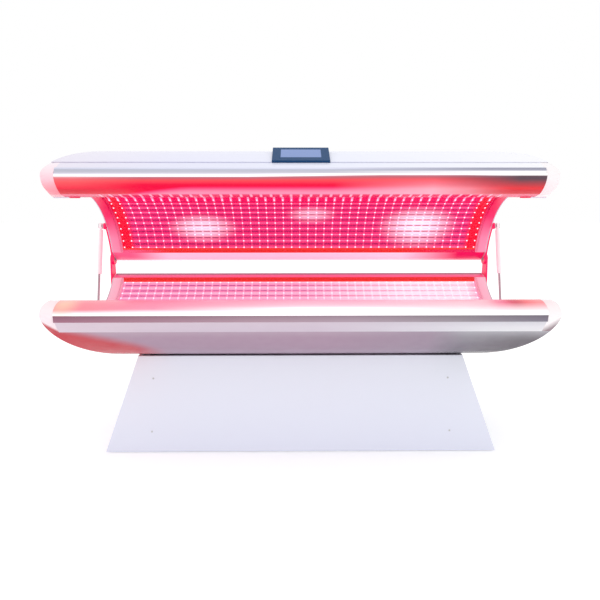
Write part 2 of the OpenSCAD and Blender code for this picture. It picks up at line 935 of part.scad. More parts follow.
module pedestal_tubes() {
    leg_places = [-frame_half, -tube / 2, frame_half - tube];
    for (u = [frame_u, frame_back_u], z = [frame_low, pedestal_h - tube])
        translate([0, u, z]) tube_x(-frame_half, frame_half);
    for (x = leg_places) {
        for (u = [frame_u, frame_back_u])
            translate([x, u, 0]) tube_z(frame_low + tube, pedestal_h - tube);
        for (z = [frame_low, pedestal_h - tube])
            translate([x, 0, z]) tube_u(frame_u + tube, frame_back_u);
    }
}

// Blocks between the frame and the sloping panels, which the screws bite into
module screw_blocks() {
    block_w = 30;
    block_h = 24;
    into_leg = tube_wall / 2;
    difference() {
        intersection() {
            along_x(-foot_half_l, foot_half_l) pedestal_depth(panel_inset + fit);
            for (z = [screw_low_z, screw_high_z], x = [-screw_x, screw_x])
                translate([x - block_w / 2, foot_u, z - block_h / 2])
                    cube([block_w, frame_u + into_leg - foot_u, block_h]);
        }
        screw_holes();
    }
}

module feet() {
    disc_t = 8;
    stem_r = 6;
    for (x = [-frame_half + tube / 2, 0, frame_half - tube / 2],
        u = [frame_u + tube / 2, frame_back_u + tube / 2])
        translate([x, u, 0]) {
            cylinder(r = foot_r, h = disc_t, $fn = 48);
            cylinder(r = stem_r, h = frame_low, $fn = 48);
        }
}

module spacer() {
    difference() {
        translate([-top_half_l + spacer_in, top_u + spacer_in, pedestal_h])
            cube([2 * (top_half_l - spacer_in), depth - 2 * (top_u + spacer_in),
                nose_z - bed_drop - pedestal_h]);
        for (side = [-1, 1])
            translate([side * fan_x, mid_u, pedestal_h - past])
                cylinder(r = fan_w / 2, h = nose_z - bed_drop - pedestal_h + 2 * past);
    }
}

// Frame on the back panel at the power inlet, +Z outward
module on_back(x, z) {
    translate([x, depth - foot_u - (top_u - foot_u) * z / pedestal_h, z])
        rotate([-90 + side_slope, 0, 0]) children();
}

inlet_w = 92;
inlet_h = 34;
rocker_w = 20;
rocker_l = 26;
rocker_x = 26;

module inlet_hole() {
    on_back(inlet_x, inlet_z)
        translate([-inlet_w / 2 - fit, -inlet_h / 2 - fit, -2 * board])
            cube([inlet_w + 2 * fit, inlet_h + 2 * fit, 3 * board]);
}

module inlet() {
    lip = 10;
    plate_out = 2.5;
    deep = 26;
    socket_w = 28;
    socket_h = 22;
    socket_in = 8;
    socket_floor = 6;
    well_floor = 4;
    well_gap = 0.5;
    on_back(inlet_x, inlet_z) difference() {
        union() {
            translate([-inlet_w / 2 - lip, -inlet_h / 2 - lip, seat_gap])
                cube([inlet_w + 2 * lip, inlet_h + 2 * lip, plate_out]);
            translate([-inlet_w / 2, -inlet_h / 2, -deep]) cube([inlet_w, inlet_h, deep + past]);
        }
        translate([-inlet_w / 2 + socket_in, -socket_h / 2, -deep + socket_floor])
            cube([socket_w, socket_h, 2 * deep]);
        translate([rocker_x - rocker_w / 2 - well_gap, -rocker_l / 2 - past, -deep + well_floor])
            cube([rocker_w + 2 * well_gap, rocker_l + 2 * past, 2 * deep]);
    }
}

// The rocker turns about a pin across the middle of its well
module rocker() {
    pin_depth = 8;
    tilt = 8;
    face_r = 16;
    below_pin = 4;
    rocker_h = 16;
    on_back(inlet_x, inlet_z) translate([rocker_x, 0, -pin_depth]) rotate([tilt, 0, 0])
        intersection() {
            translate([-rocker_w / 2, -rocker_l / 2 + past, -below_pin])
                cube([rocker_w, rocker_l - 2 * past, rocker_h]);
            rotate([0, 90, 0]) cylinder(r = face_r, h = rocker_w, center = true);
        }
}

module bed_shell() color("whitesmoke") placed() shell(bed_drop);
module bed_front_rail() color("pink") placed() front_rail();
module bed_front_band() color("silver") placed() front_band();
module bed_accent_strip() color("gray") placed() accent_strip();
module bed_rear_rail() color("pink") placed() rear_rail();
module bed_cap_left() color("white") placed() left_side() cap();
module bed_cap_right() color("white") placed() cap();
module bed_rib_left() color("lightpink") placed() left_side() rib();
module bed_rib_right() color("lightpink") placed() rib();
module bed_acrylic() color("pink", 0.4) placed() acrylic();
module bed_light_strips() color("hotpink") placed() light_strips();
module bed_reflector_tray() color("crimson") placed() reflector_tray();
module bed_formers() color("lightgray") placed() formers(bed_drop);
module bed_power_supplies() color("silver") placed() power_supplies(bed_drop);
module bed_fan_frames() color("black") placed()
    for (x = [-fan_x, fan_x]) translate([x, 0, 0]) fan_frame(bed_drop);
module bed_fan_rotor_left() color("dimgray") placed() translate([-fan_x, 0, 0]) fan_rotor(bed_drop);
module bed_fan_rotor_right() color("dimgray") placed() translate([fan_x, 0, 0]) fan_rotor(bed_drop);

module canopy_shell() color("white") in_canopy() difference() {
    flipped() shell(canopy_drop);
    panel_block(2 * fit);
}
module canopy_front_rail() color("deeppink") canopy_half() front_rail();
module canopy_front_band() color("silver") difference() {
    canopy_half() front_band();
    in_canopy() panel_block(2 * fit);
}
module canopy_accent_strip() color("gray") canopy_half() accent_strip();
module canopy_rear_rail() color("deeppink") canopy_half() rear_rail();
module canopy_cap_left() color("white") canopy_half() left_side() cap();
module canopy_cap_right() color("white") canopy_half() cap();
module canopy_rib_left() color("lightpink") canopy_half() left_side() rib();
module canopy_rib_right() color("lightpink") canopy_half() rib();
module canopy_acrylic() color("pink", 0.4) canopy_half() acrylic();
module canopy_light_strips() color("hotpink") canopy_half() light_strips();
module canopy_reflector_tray() color("crimson") canopy_half() reflector_tray();
module canopy_formers() color("lightgray") canopy_half() formers(canopy_drop);
module canopy_power_supplies() color("silver") canopy_half() power_supplies(canopy_drop);
module canopy_fan_frames() color("black") canopy_half()
    for (x = [-fan_x, fan_x]) translate([x, 0, 0]) fan_frame(canopy_drop);
module canopy_fan_rotor_left() color("dimgray") canopy_half()
    translate([-fan_x, 0, 0]) fan_rotor(canopy_drop);
module canopy_fan_rotor_right() color("dimgray") canopy_half()
    translate([fan_x, 0, 0]) fan_rotor(canopy_drop);
module control_panel_housing() color("steelblue") in_canopy() difference() {
    panel_block(0);
    screen_block(fit);
}
module control_panel_screen() color("lightsteelblue") in_canopy() screen_block(0);

module hinge_arm_left() color("red") in_canopy() left_side() hinge_arm();
module hinge_arm_right() color("red") in_canopy() hinge_arm();
module hinge_bushes() color("goldenrod") in_canopy() {
    left_side() hinge_bush();
    hinge_bush();
}
module upper_strut_studs() color("silver") in_canopy() {
    left_side() upper_stud();
    upper_stud();
}
module hinge_bracket_left() color("red") placed() left_side() hinge_bracket();
module hinge_bracket_right() color("red") placed() hinge_bracket();
module hinge_pins() color("silver") placed() {
    left_side() hinge_pin();
    hinge_pin();
}
module lower_strut_studs() color("silver") placed() {
    left_side() lower_stud();
    lower_stud();
}
module strut_rod_left() color("silver") placed() left_side() strut_rod();
module strut_rod_right() color("silver") placed() strut_rod();
module strut_cylinder_left() color("pink") placed() left_side() strut_cylinder();
module strut_cylinder_right() color("pink") placed() strut_cylinder();

module shadow_spacer() color("black") placed() spacer();
module pedestal_frame() color("dimgray") placed() {
    pedestal_tubes();
    screw_blocks();
    rear_mirror() screw_blocks();
}
module pedestal_front_panel() color("lavender") placed() front_panel();
module pedestal_back_panel() color("lavender") placed() difference() {
    rear_mirror() front_panel();
    inlet_hole();
}
module pedestal_left_panel() color("lavender") placed() left_side() end_panel();
module pedestal_right_panel() color("lavender") placed() end_panel();
module panel_screws() color("silver") placed() {
    screws();
    rear_mirror() screws();
}
module levelling_feet() color("black") placed() feet();
module power_inlet() color("black") placed() inlet();
module rocker_switch() color("red") placed() rocker();

bed_shell();
bed_front_rail();
bed_front_band();
bed_accent_strip();
bed_rear_rail();
bed_cap_left();
bed_cap_right();
bed_rib_left();
bed_rib_right();
bed_acrylic();
bed_light_strips();
bed_reflector_tray();
bed_formers();
bed_power_supplies();
bed_fan_frames();
bed_fan_rotor_left();
bed_fan_rotor_right();
canopy_shell();
canopy_front_rail();
canopy_front_band();
canopy_accent_strip();
canopy_rear_rail();
canopy_cap_left();
canopy_cap_right();
canopy_rib_left();
canopy_rib_right();
canopy_acrylic();
canopy_light_strips();
canopy_reflector_tray();
canopy_formers();
canopy_power_supplies();
canopy_fan_frames();
canopy_fan_rotor_left();
canopy_fan_rotor_right();
control_panel_housing();
control_panel_screen();
hinge_arm_left();
hinge_arm_right();
hinge_bushes();
upper_strut_studs();
hinge_bracket_left();
hinge_bracket_right();
hinge_pins();
lower_strut_studs();
strut_rod_left();
strut_rod_right();
strut_cylinder_left();
strut_cylinder_right();
shadow_spacer();
pedestal_frame();
pedestal_front_panel();
pedestal_back_panel();
pedestal_left_panel();
pedestal_right_panel();
panel_screws();
levelling_feet();
power_inlet();
rocker_switch();
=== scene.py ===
# %% [markdown]
# This lesson dresses a red light therapy bed. The construction is already packed as a
# frame: every solid piece at its real size, in metres, with the floor at zero height.
# Blender adds the finish of each surface and the small lenses that carry the light.

# %% Load the frame
import json
import math
from collections import namedtuple
import bmesh
import bpy
from mathutils import Matrix, Vector
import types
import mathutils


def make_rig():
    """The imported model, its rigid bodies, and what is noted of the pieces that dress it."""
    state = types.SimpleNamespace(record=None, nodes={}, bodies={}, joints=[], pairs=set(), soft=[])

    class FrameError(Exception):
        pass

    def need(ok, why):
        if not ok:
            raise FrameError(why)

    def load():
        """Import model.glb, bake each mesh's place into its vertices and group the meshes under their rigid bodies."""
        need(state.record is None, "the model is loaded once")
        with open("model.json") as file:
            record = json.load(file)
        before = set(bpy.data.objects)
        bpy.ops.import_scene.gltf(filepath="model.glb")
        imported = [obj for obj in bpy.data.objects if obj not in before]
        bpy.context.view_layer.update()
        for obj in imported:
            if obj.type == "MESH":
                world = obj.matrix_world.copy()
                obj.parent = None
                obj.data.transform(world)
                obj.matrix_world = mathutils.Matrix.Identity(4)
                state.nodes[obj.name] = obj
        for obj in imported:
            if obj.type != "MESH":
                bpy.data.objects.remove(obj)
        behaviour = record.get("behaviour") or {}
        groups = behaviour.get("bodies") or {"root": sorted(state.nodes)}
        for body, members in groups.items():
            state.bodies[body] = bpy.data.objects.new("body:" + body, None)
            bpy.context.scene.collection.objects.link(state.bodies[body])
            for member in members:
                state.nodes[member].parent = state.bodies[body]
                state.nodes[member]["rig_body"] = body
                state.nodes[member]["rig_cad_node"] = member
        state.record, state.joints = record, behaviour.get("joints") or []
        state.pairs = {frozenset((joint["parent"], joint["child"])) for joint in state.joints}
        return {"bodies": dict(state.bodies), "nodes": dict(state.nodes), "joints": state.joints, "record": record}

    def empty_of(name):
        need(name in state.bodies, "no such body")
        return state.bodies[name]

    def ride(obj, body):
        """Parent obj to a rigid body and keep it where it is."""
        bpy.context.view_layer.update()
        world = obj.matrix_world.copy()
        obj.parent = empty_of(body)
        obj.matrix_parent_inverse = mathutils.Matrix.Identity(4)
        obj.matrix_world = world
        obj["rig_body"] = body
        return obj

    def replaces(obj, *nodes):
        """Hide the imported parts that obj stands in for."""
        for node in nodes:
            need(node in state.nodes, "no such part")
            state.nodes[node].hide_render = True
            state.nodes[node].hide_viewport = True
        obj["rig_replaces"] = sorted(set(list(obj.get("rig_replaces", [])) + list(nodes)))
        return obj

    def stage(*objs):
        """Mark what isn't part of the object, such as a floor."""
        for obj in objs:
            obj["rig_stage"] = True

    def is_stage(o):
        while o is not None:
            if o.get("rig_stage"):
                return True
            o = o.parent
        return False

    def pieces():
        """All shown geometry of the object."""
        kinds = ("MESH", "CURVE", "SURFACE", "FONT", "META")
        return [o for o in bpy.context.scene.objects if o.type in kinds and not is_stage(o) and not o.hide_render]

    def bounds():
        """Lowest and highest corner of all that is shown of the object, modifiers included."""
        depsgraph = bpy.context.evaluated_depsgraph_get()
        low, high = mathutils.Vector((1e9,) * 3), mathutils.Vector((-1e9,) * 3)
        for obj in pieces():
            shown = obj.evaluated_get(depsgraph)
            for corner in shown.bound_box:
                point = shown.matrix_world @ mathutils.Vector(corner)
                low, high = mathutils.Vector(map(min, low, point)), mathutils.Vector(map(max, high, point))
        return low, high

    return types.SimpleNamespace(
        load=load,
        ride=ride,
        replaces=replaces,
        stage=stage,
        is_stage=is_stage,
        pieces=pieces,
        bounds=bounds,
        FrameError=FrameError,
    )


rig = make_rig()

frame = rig.load()
nodes = frame["nodes"]
cad_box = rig.bounds()
print("pieces in the frame:", len(nodes))

# %% [markdown]
# The camera stands where the photographer stood: about two metres in front of the rails, at
# chest height, and tipped down a little. A sensor 36 mm wide and a focal length near 35 mm
# give the strong perspective that makes the ribs lean. Distances are taken from the nose of
# the lower half, because that edge could be measured best.

# %% Camera
NOSE_BACK = 0.437                # from the nose back to the frame's origin, in metres
SENSOR_MM = 36.0
FOCAL_SHARE = 586.9 / 600.0      # focal length over the width of the picture
TIPPED_DOWN = 11.1               # degrees
TURNED_RIGHT = 0.6               # degrees
camera_data = bpy.data.cameras.new("camera")
camera_data.sensor_width = SENSOR_MM
camera_data.lens = SENSOR_MM * FOCAL_SHARE
camera = bpy.data.objects.new("camera", camera_data)
bpy.context.scene.collection.objects.link(camera)
bpy.context.scene.camera = camera
camera.location = (-0.0283, -2.1242 - NOSE_BACK, 1.0811)
camera.rotation_euler = (math.radians(90.0 - TIPPED_DOWN), 0.0, math.radians(-TURNED_RIGHT))
print("camera stands at", tuple(round(v, 3) for v in camera.location))

# %% [markdown]
# A studio product picture has a pale floor and large soft lamps. The room is bright all
# round, so that the white shells stay white, and one broad lamp above gives them a shape.
# The picture is shown with the plain standard transform, so that the lit red stays pure.

# %% Studio
bpy.context.scene.view_settings.view_transform = "Standard"
world = bpy.data.worlds.new("studio")
world.use_nodes = True
bpy.context.scene.world = world
room = world.node_tree.nodes["Background"]
room.inputs["Color"].default_value = (1.0, 1.0, 1.0, 1.0)
room.inputs["Strength"].default_value = 1.0
lamp_data = bpy.data.lights.new("lamp_above", "AREA")
lamp_data.shape = "RECTANGLE"
lamp_data.size = 4.0
lamp_data.size_y = 2.5
lamp_data.energy = 8.0
lamp = bpy.data.objects.new("lamp_above", lamp_data)
bpy.context.scene.collection.objects.link(lamp)
lamp.location = (0.0, -0.8, 3.4)
aimed_at = Vector((0.0, 0.0, 0.6))
lamp.rotation_euler = (aimed_at - Vector(lamp.location)).to_track_quat("-Z", "Y").to_euler()
print("lamp above:", lamp_data.size, "by", lamp_data.size_y, "m,", lamp_data.energy, "W")

# %% [markdown]
# The lower half and the canopy are the same moulding, one turned over. Its profile is known
# from the construction, and many finishes below change at one of its edges. So the edges
# are named once: heights are above the floor, and depths are behind the nose.

# %% Sizes of the two halves, in metres
BED_DEPTH = 0.860                # from the nose of the front rail to the nose of the rear one
RAIL_DEPTH = 0.135               # from a nose to the wall that drops into the trough
CREASE_RUN = 0.032               # where the round nose ends
CREST_RUN = 0.087                # where the rail is highest
CREST_HEIGHT = 0.648
ACCENT_LOW, ACCENT_HIGH = 0.579, 0.605
SEAM_HEIGHT = 0.531              # where the metal band meets the shell
HULL_LOW = 0.385                 # the keel
TROUGH_AXIS = Vector((0.0, 0.430 - NOSE_BACK, 0.910))
ARC_RADIUS = 0.397               # the inner face of the clear sheet, round the trough's axis
ROWS, COLUMNS = 19, 45           # light strips, and lamps on each
STRIP_PITCH = 0.0335             # from one strip to the next, along the arc
ROW_ANGLE = STRIP_PITCH / ARC_RADIUS
LIGHT_HALF = 0.869               # half the length of a strip
FIRST_LAMP = 0.017               # from a strip's end to its first lamp
COLUMN_PITCH = 2.0 * (LIGHT_HALF - FIRST_LAMP) / (COLUMNS - 1)
print("lamps are", round(1000.0 * COLUMN_PITCH, 1), "mm apart along a strip")

# %% [markdown]
# Colours are written as the eye sees them, in sRGB hex. Blender works in linear light, so
# one function turns the hex value into linear numbers. One more small function adds a
# shader node with its settings and its links. It can do this for every kind of node,
# because it looks at what it is given: the output of another node is linked, a hex colour
# is turned linear, and a number is set. That keeps each material short to read.

# %% Colours and nodes
MM = 0.001
# the setting that a kind of node may need besides its sockets
OPTION_OF = {"Math": "operation", "MapRange": "interpolation_type", "Mix": "data_type"}


def linear(hex_colour):
    """Turns an sRGB hex colour into linear RGBA."""
    parts = [int(hex_colour[i:i + 2], 16) / 255.0 for i in (1, 3, 5)]
    return tuple(p / 12.92 if p <= 0.04045 else ((p + 0.055) / 1.055) ** 2.4 for p in parts) + (1.0,)


def fill(node, values):
    """Fills a node's sockets, each given by its name or its number."""
    for key, value in values.items():
        if isinstance(value, bpy.types.NodeSocket):
            node.id_data.links.new(value, node.inputs[key])
        else:
            node.inputs[key].default_value = linear(value) if isinstance(value, str) else value


def add(material, kind, *values, out=None, **named):
    """Adds one node with its settings and links, and gives its output.

    A kind such as Math.ADD also sets the node's option. The values fill the sockets in use
    from the first on, and the named ones fill the socket of that name."""
    kind, _, option = kind.partition(".")
    node = material.node_tree.nodes.new("ShaderNode" + kind)
    if option:
        setattr(node, OPTION_OF[kind], option)
    in_use = [number for number, socket in enumerate(node.inputs) if socket.enabled]
    fill(node, dict(zip(in_use, values)))
    fill(node, named)
    return node.outputs[out] if out else next(socket for socket in node.outputs if socket.enabled)


def blank(name):
    """A material with an empty principled shader, ready for settings."""
    material = bpy.data.materials.new(name)
    material.use_nodes = True
    return material, material.node_tree.nodes["Principled BSDF"]


print("middle grey in linear light:", round(linear("#808080")[0], 3))

# %% [markdown]
# Nothing on this bed is shown in one flat colour, because light and shade are painted into
# most of its surfaces. Two helpers paint them in: first a colour that changes along one
# measure, such as the height, and then thin washes over it. A wash is a colour and its
# fades. Each fade names a measure, the value where the wash starts and the value where it
# is full, and may end with how strong it is at both.

# %% Painting along a measure, and washes
def colours_along(material, measure, stops):
    """Colours that change along a measure; stops are rising values, each with its colour."""
    low, high = stops[0][0], stops[-1][0]
    colour = add(material, "ValToRGB", add(material, "MapRange", measure, low, high))
    bands = colour.node.color_ramp.elements
    while len(bands) < len(stops):
        bands.new(1.0)
    for band, (value, hex_colour) in zip(bands, stops):
        band.position = (value - low) / (high - low)
        band.color = linear(hex_colour)
    return colour


def washed(material, colour, *washes):
    """Lays washes over a colour, each where all of its fades or ready shares hold."""
    for wash, *fades in washes:
        shares = [fade if isinstance(fade, bpy.types.NodeSocket) else add(material, "MapRange", *fade)
                  for fade in fades]
        share = shares[0]
        for another in shares[1:]:
            share = add(material, "Math.MULTIPLY", share, another)
        colour = add(material, "Mix.RGBA", share, colour, wash)
    return colour


print("painting helpers ready")

# %% [markdown]
# A finish that follows the profile needs to know where on it a point lies. On the lower half
# that is read from the point's own place. A point of the open canopy is first swung shut
# round the hinge and then turned over, which lays it on the lower half's profile. So one set
# of sizes serves both halves, and the finish rides along when the canopy moves.

# %% Place of a point on the profile
CLOSING_HEIGHT = 0.685           # shut, the two halves mirror each other at this height
OPEN_ANGLE = math.radians(28.0)
HINGE = Vector((0.0, 0.7755 - NOSE_BACK, 0.720))
Place = namedtuple("Place", "across back height")


def profile_place(material, half):
    """X, depth behind the nose and height of a point, as it would lie on the lower half."""
    point = add(material, "TexCoord", out="Object")
    if half == "canopy":
        shut = Matrix.Rotation(OPEN_ANGLE, 3, "X")
        point = add(material, "Mapping", point, HINGE - shut @ HINGE, (OPEN_ANGLE, 0.0, 0.0))
        point = add(material, "Mapping", point, (0.0, 0.0, 2.0 * CLOSING_HEIGHT),
                    Scale=(1.0, 1.0, -1.0))
    axes = add(material, "SeparateXYZ", point).node.outputs
    return Place(axes["X"], add(material, "Math.ADD", axes["Y"], NOSE_BACK), axes["Z"])


def straight_distance(material, along, aside):
    """The straight distance over two legs at a right angle."""
    squares = [add(material, "Math.MULTIPLY", leg, leg) for leg in (along, aside)]
    return add(material, "Math.SQRT", add(material, "Math.ADD", *squares))


def lamp_columns(material, across):
    """Counts lamps along the bed; a lamp sits at each whole number and a half."""
    return add(material, "Math.ADD", add(material, "Math.DIVIDE", across, COLUMN_PITCH), COLUMNS / 2)


print("canopy stands open by", round(math.degrees(OPEN_ANGLE)), "degrees")

# %% [markdown]
# The large mouldings are pressed from sheets of white ABS with a gloss cap layer. Such a
# sheet is never quite flat: it has a slow ripple a few centimetres wide, and that is what
# breaks the reflection of a lamp. All the mouldings share this recipe, and differ in the
# light and shade painted into their colour, in how glossy they are and in how much painted
# lamp light they glow with.

# %% Gloss moulded plastic
RIPPLE_MM = 45.0
ABS_IOR = 1.5


def per_mm(size_mm):
    """Texture scale that makes one repeat of a pattern about this many millimetres."""
    return 1.0 / (size_mm * MM)


def moulded(name, half, colour_of, roughness, specular=0.5, coat=0.0, glow=0.0,
            ripple=0.12, ripple_mm=0.4, detail=2.0, stretch=1.0, milky=0.0):
    """A gloss moulding of one half; its colour comes from a function of the place."""
    material, shader = blank(name)
    point = add(material, "Mapping", add(material, "TexCoord", out="Object"), Scale=(stretch, 1.0, 1.0))
    waves = add(material, "TexNoise", point, per_mm(RIPPLE_MM), detail)
    colour = colour_of(material, profile_place(material, half))
    if milky > 0.0:
        colour = washed(material, colour, ("#FFFFFF", (waves, 0.0, 1.0, 0.0, milky)))
    fill(shader, {"Base Color": colour, "Roughness": roughness, "IOR": ABS_IOR,
                  "Specular IOR Level": specular, "Coat Weight": coat, "Coat Roughness": 0.08,
                  "Normal": add(material, "Bump", ripple, ripple_mm * MM, Height=waves)})
    # painted lamp light: a glow in the moulding's own colour
    if glow > 0.0:
        fill(shader, {"Emission Color": colour, "Emission Strength": glow})
    return material


print("ripple scale:", round(per_mm(RIPPLE_MM), 1), "per metre")

# %% [markdown]
# The shells are the outer skins. The lower one faces down and stands in its own shade, so it
# is painted darker towards the keel. It takes a painted mauve cast from the red light that
# spills past it, which is strongest at the left end and turns to grey at the right. The
# canopy's shell faces the lamp above and stays nearly white, with painted shade a little
# cooler at its left and darker on its end walls behind the rail.

# %% Shells
KEEL_RISE = 0.32                 # how fast the hull's lower edge rises towards its ends
HULL_STOPS = ((HULL_LOW, "#A0849A"), (0.44, "#A2869A"), (0.50, "#A68A9E"),
              (SEAM_HEIGHT, "#B09AAA"), (0.56, "#C4B0BE"), (CREST_HEIGHT, "#E8DCE4"))
PAST_FOOT_STOPS = ((HULL_LOW, "#4C4450"), (0.45, "#766E7A"), (0.50, "#8E8A92"),
                   (SEAM_HEIGHT, "#A6A5AC"), (0.56, "#C2BEC6"), (CREST_HEIGHT, "#E8E2E8"))
CANOPY_SHELL_SHADE_STOPS = ((-0.95, "#E4DEEC"), (-0.50, "#E0E0F2"), (0.10, "#E4E6F5"), (0.90, "#F2F2FA"))


def bed_shell_colour(material, place):
    """Painted light and shade: mauve and darker towards the keel, with washes for the light it faces."""
    across, back, height = place
    edge = add(material, "Math.MULTIPLY_ADD", across, KEEL_RISE, height)
    return washed(
        material, colours_along(material, height, HULL_STOPS),
        # greyer to the right, where fewer of the lamps reach
        ("#8C8492", (across, 0.10, 0.75, 0.0, 0.8), (height, 0.62, SEAM_HEIGHT)),
        # darker past the pedestal, which throws light up on the rest
        (colours_along(material, height, PAST_FOOT_STOPS), (across, 0.50, 0.64)),
        ("#2E262C", (across, 0.66, 0.86), (height, 0.53, 0.48, 0.0, 0.55)),
        # red spill on the low left corner, fading towards the back
        ("#BC2C3A", add(material, "MapRange.SMOOTHSTEP", across, -0.52, -0.68),
         add(material, "MapRange.SMOOTHSTEP", edge, 0.286, 0.222), (back, 0.60, 0.22)))


def canopy_shell_colour(material, place):
    """Cool white, with painted shade a little darker at its left and on its end walls behind the rail."""
    from_middle = add(material, "Math.ABSOLUTE", place.across)
    return washed(material, colours_along(material, place.across, CANOPY_SHELL_SHADE_STOPS),
                  ("#D0D0E0", (from_middle, 0.895, 0.905), (place.back, 0.10, 0.14)))


shells = {"bed": moulded("bed_gloss_shell", "bed", bed_shell_colour, roughness=0.24,
                         specular=0.2, ripple_mm=0.5, milky=0.05),
          "canopy": moulded("canopy_gloss_shell", "canopy", canopy_shell_colour, roughness=0.24,
                            specular=0.3, ripple_mm=0.5, milky=0.05)}
print("shells:", *(material.name for material in shells.values()))

# %% [markdown]
# The end caps are small mouldings of the same ABS, polished in the tool and so glossier: a
# thin clear coat gives them the sharper highlight. They stand beside the lit rails and pick
# up their pink as painted light, less so on the right, and the lower ones are painted
# darker towards their bottom. The lower ones also end in the painted red light and shade
# that the hull has below them, along an edge that slants with the cap.

# %% End caps
CAP_RISE = 0.9                   # how fast a lower cap's bottom edge rises outwards
CAP_LOW = 0.52
BED_CAP_STOPS = ((CAP_LOW, "#EBD8DF"), (0.60, "#F6E6EC"), (CREST_HEIGHT, "#FFF6F8"))
CANOPY_CAP_STOPS = ((CAP_LOW, "#F4ECF4"), (0.60, "#F8DCE4"), (0.625, "#F8C8D4"),
                    (CREST_HEIGHT, "#F4909E"))


def cap_colour(material, place, stops):
    """Painted light and shade up the height of a cap, all of them whiter on the right."""
    return washed(material, colours_along(material, place.height, stops),
                  ("#F8F4F5", (place.across, 0.0, 0.5, 0.0, 0.85)))


def canopy_cap_colour(material, place):
    """White, with painted pink light beside the lit nose."""
    return cap_colour(material, place, CANOPY_CAP_STOPS)


def bed_cap_colour(material, place):
    """White, with red spill under the left cap and shade under the right one."""
    left_edge = add(material, "Math.MULTIPLY_ADD", place.across, CAP_RISE, place.height)
    right_edge = add(material, "Math.MULTIPLY_ADD", place.across, -CAP_RISE, place.height)
    return washed(material, cap_colour(material, place, BED_CAP_STOPS),
                  ("#BC2C3A", (left_edge, -0.284, -0.300)),
                  ("#8C7880", (right_edge, -0.270, -0.310)))


caps = {"bed": moulded("bed_gloss_end_cap", "bed", bed_cap_colour, roughness=0.2, coat=0.2),
        "canopy": moulded("canopy_gloss_end_cap", "canopy", canopy_cap_colour,
                          roughness=0.2, coat=0.2)}
print("end caps:", *(material.name for material in caps.values()))

# %% [markdown]
# The bullnose rails face the lamps, so they show most of the red, and that red is painted
# lamp light. Real plastic glows a little where strong light falls on it, because some of it
# scatters inside, and so the rails get a weak glow of their own colour, which is painted
# light too. The stops below run from the nose back to the wall of the trough. The bed's
# crest is washed pink with painted light, and its nose stays almost white, a painted
# highlight.

# %% The bed's front rail
# painted light along the rail: a white highlight on the nose, pink towards the crest
BED_NOSE_STOPS = ((0.0, "#FFFFFF"), (0.018, "#FFFAFC"), (0.025, "#EED8E2"), (0.034, "#E6C6D4"),
                  (0.048, "#E5C0D0"), (CREST_RUN, "#E5BACE"), (0.128, "#E4A8C0"), (RAIL_DEPTH, "#DC9CB8"))
RIGHT_END_STOPS = ((0.70, "#E3A1B1"), (0.76, "#DE6889"), (0.797, "#C82850"), (0.816, "#C22044"),
                   (0.834, "#CE3C4E"), (0.853, "#DC5660"), (0.90, "#E47C80"))
WARM_ACROSS, WARM_BACK = -0.890, 0.045   # middle of the warm spot on the left end
WARM_RADIUS = 0.080


def bed_front_rail_colour(material, place):
    """Painted lamp light: pale pink, rosier to the left, with a painted crimson reflection near the right end."""
    across, back = place.across, place.back
    upper = add(material, "MapRange", back, 0.001, 0.014)
    from_spot = straight_distance(material, add(material, "Math.SUBTRACT", across, WARM_ACROSS),
                                  add(material, "Math.SUBTRACT", back, WARM_BACK))
    return washed(
        material, colours_along(material, back, BED_NOSE_STOPS),
        # painted lamp light: rosier to the left, paler to the right
        ("#E194AC", (across, 0.0, -0.55), upper),
        ("#E18894", (across, -0.58, -0.80), upper),
        ("#E8D2D8", (across, 0.15, 0.55, 0.0, 0.7), upper),
        # the left end reflects the warm light of the canopy's end
        ("#F4BCA4", add(material, "MapRange.SMOOTHSTEP", from_spot, WARM_RADIUS, 0.0, 0.0, 0.9)),
        (colours_along(material, across, RIGHT_END_STOPS), (across, 0.62, 0.74), (back, 0.002, 0.052)))


print("the bed's front rail has", len(BED_NOSE_STOPS), "colour stops")

# %% [markdown]
# On the canopy's nose the colours run along the rail, but not quite straight. Towards both
# ends the crimson runs on back to the crest, where the middle has turned pink, and the dark
# line at the nose's very edge lies a few millimetres further back on the left. So the depth
# at which the colour stops are read is shifted first.

# %% Where the canopy nose's colours are read
CREST_EDGE = CREST_RUN - 0.003   # the nose's colours end just in front of the crest


def shifted_depth(material, place, from_middle):
    """Depth at which the stops are read, less than the real one near the ends and the edge."""
    across, back = place.across, place.back
    outward = add(material, "MapRange.SMOOTHSTEP", from_middle, 0.40, 0.80, 0.0, 0.055)
    on_nose = add(material, "MapRange", back, CREST_RUN, CREST_EDGE)
    nearer = add(material, "Math.SUBTRACT", back, add(material, "Math.MULTIPLY", outward, on_nose))
    held = add(material, "Math.MAXIMUM", nearer, CREASE_RUN)
    late_left = add(material, "MapRange", across, 0.30, -0.20, 0.0, 0.003)
    late_right = add(material, "MapRange", across, 0.62, 0.80, 0.0, 0.0015)
    at_edge = add(material, "MapRange", back, 0.025, 0.010)
    late = add(material, "Math.MULTIPLY", add(material, "Math.MAXIMUM", late_left, late_right), at_edge)
    return add(material, "Math.SUBTRACT", add(material, "Math.MINIMUM", back, held), late)


print("the nose's colours end", round(CREST_EDGE / MM), "mm behind its edge")
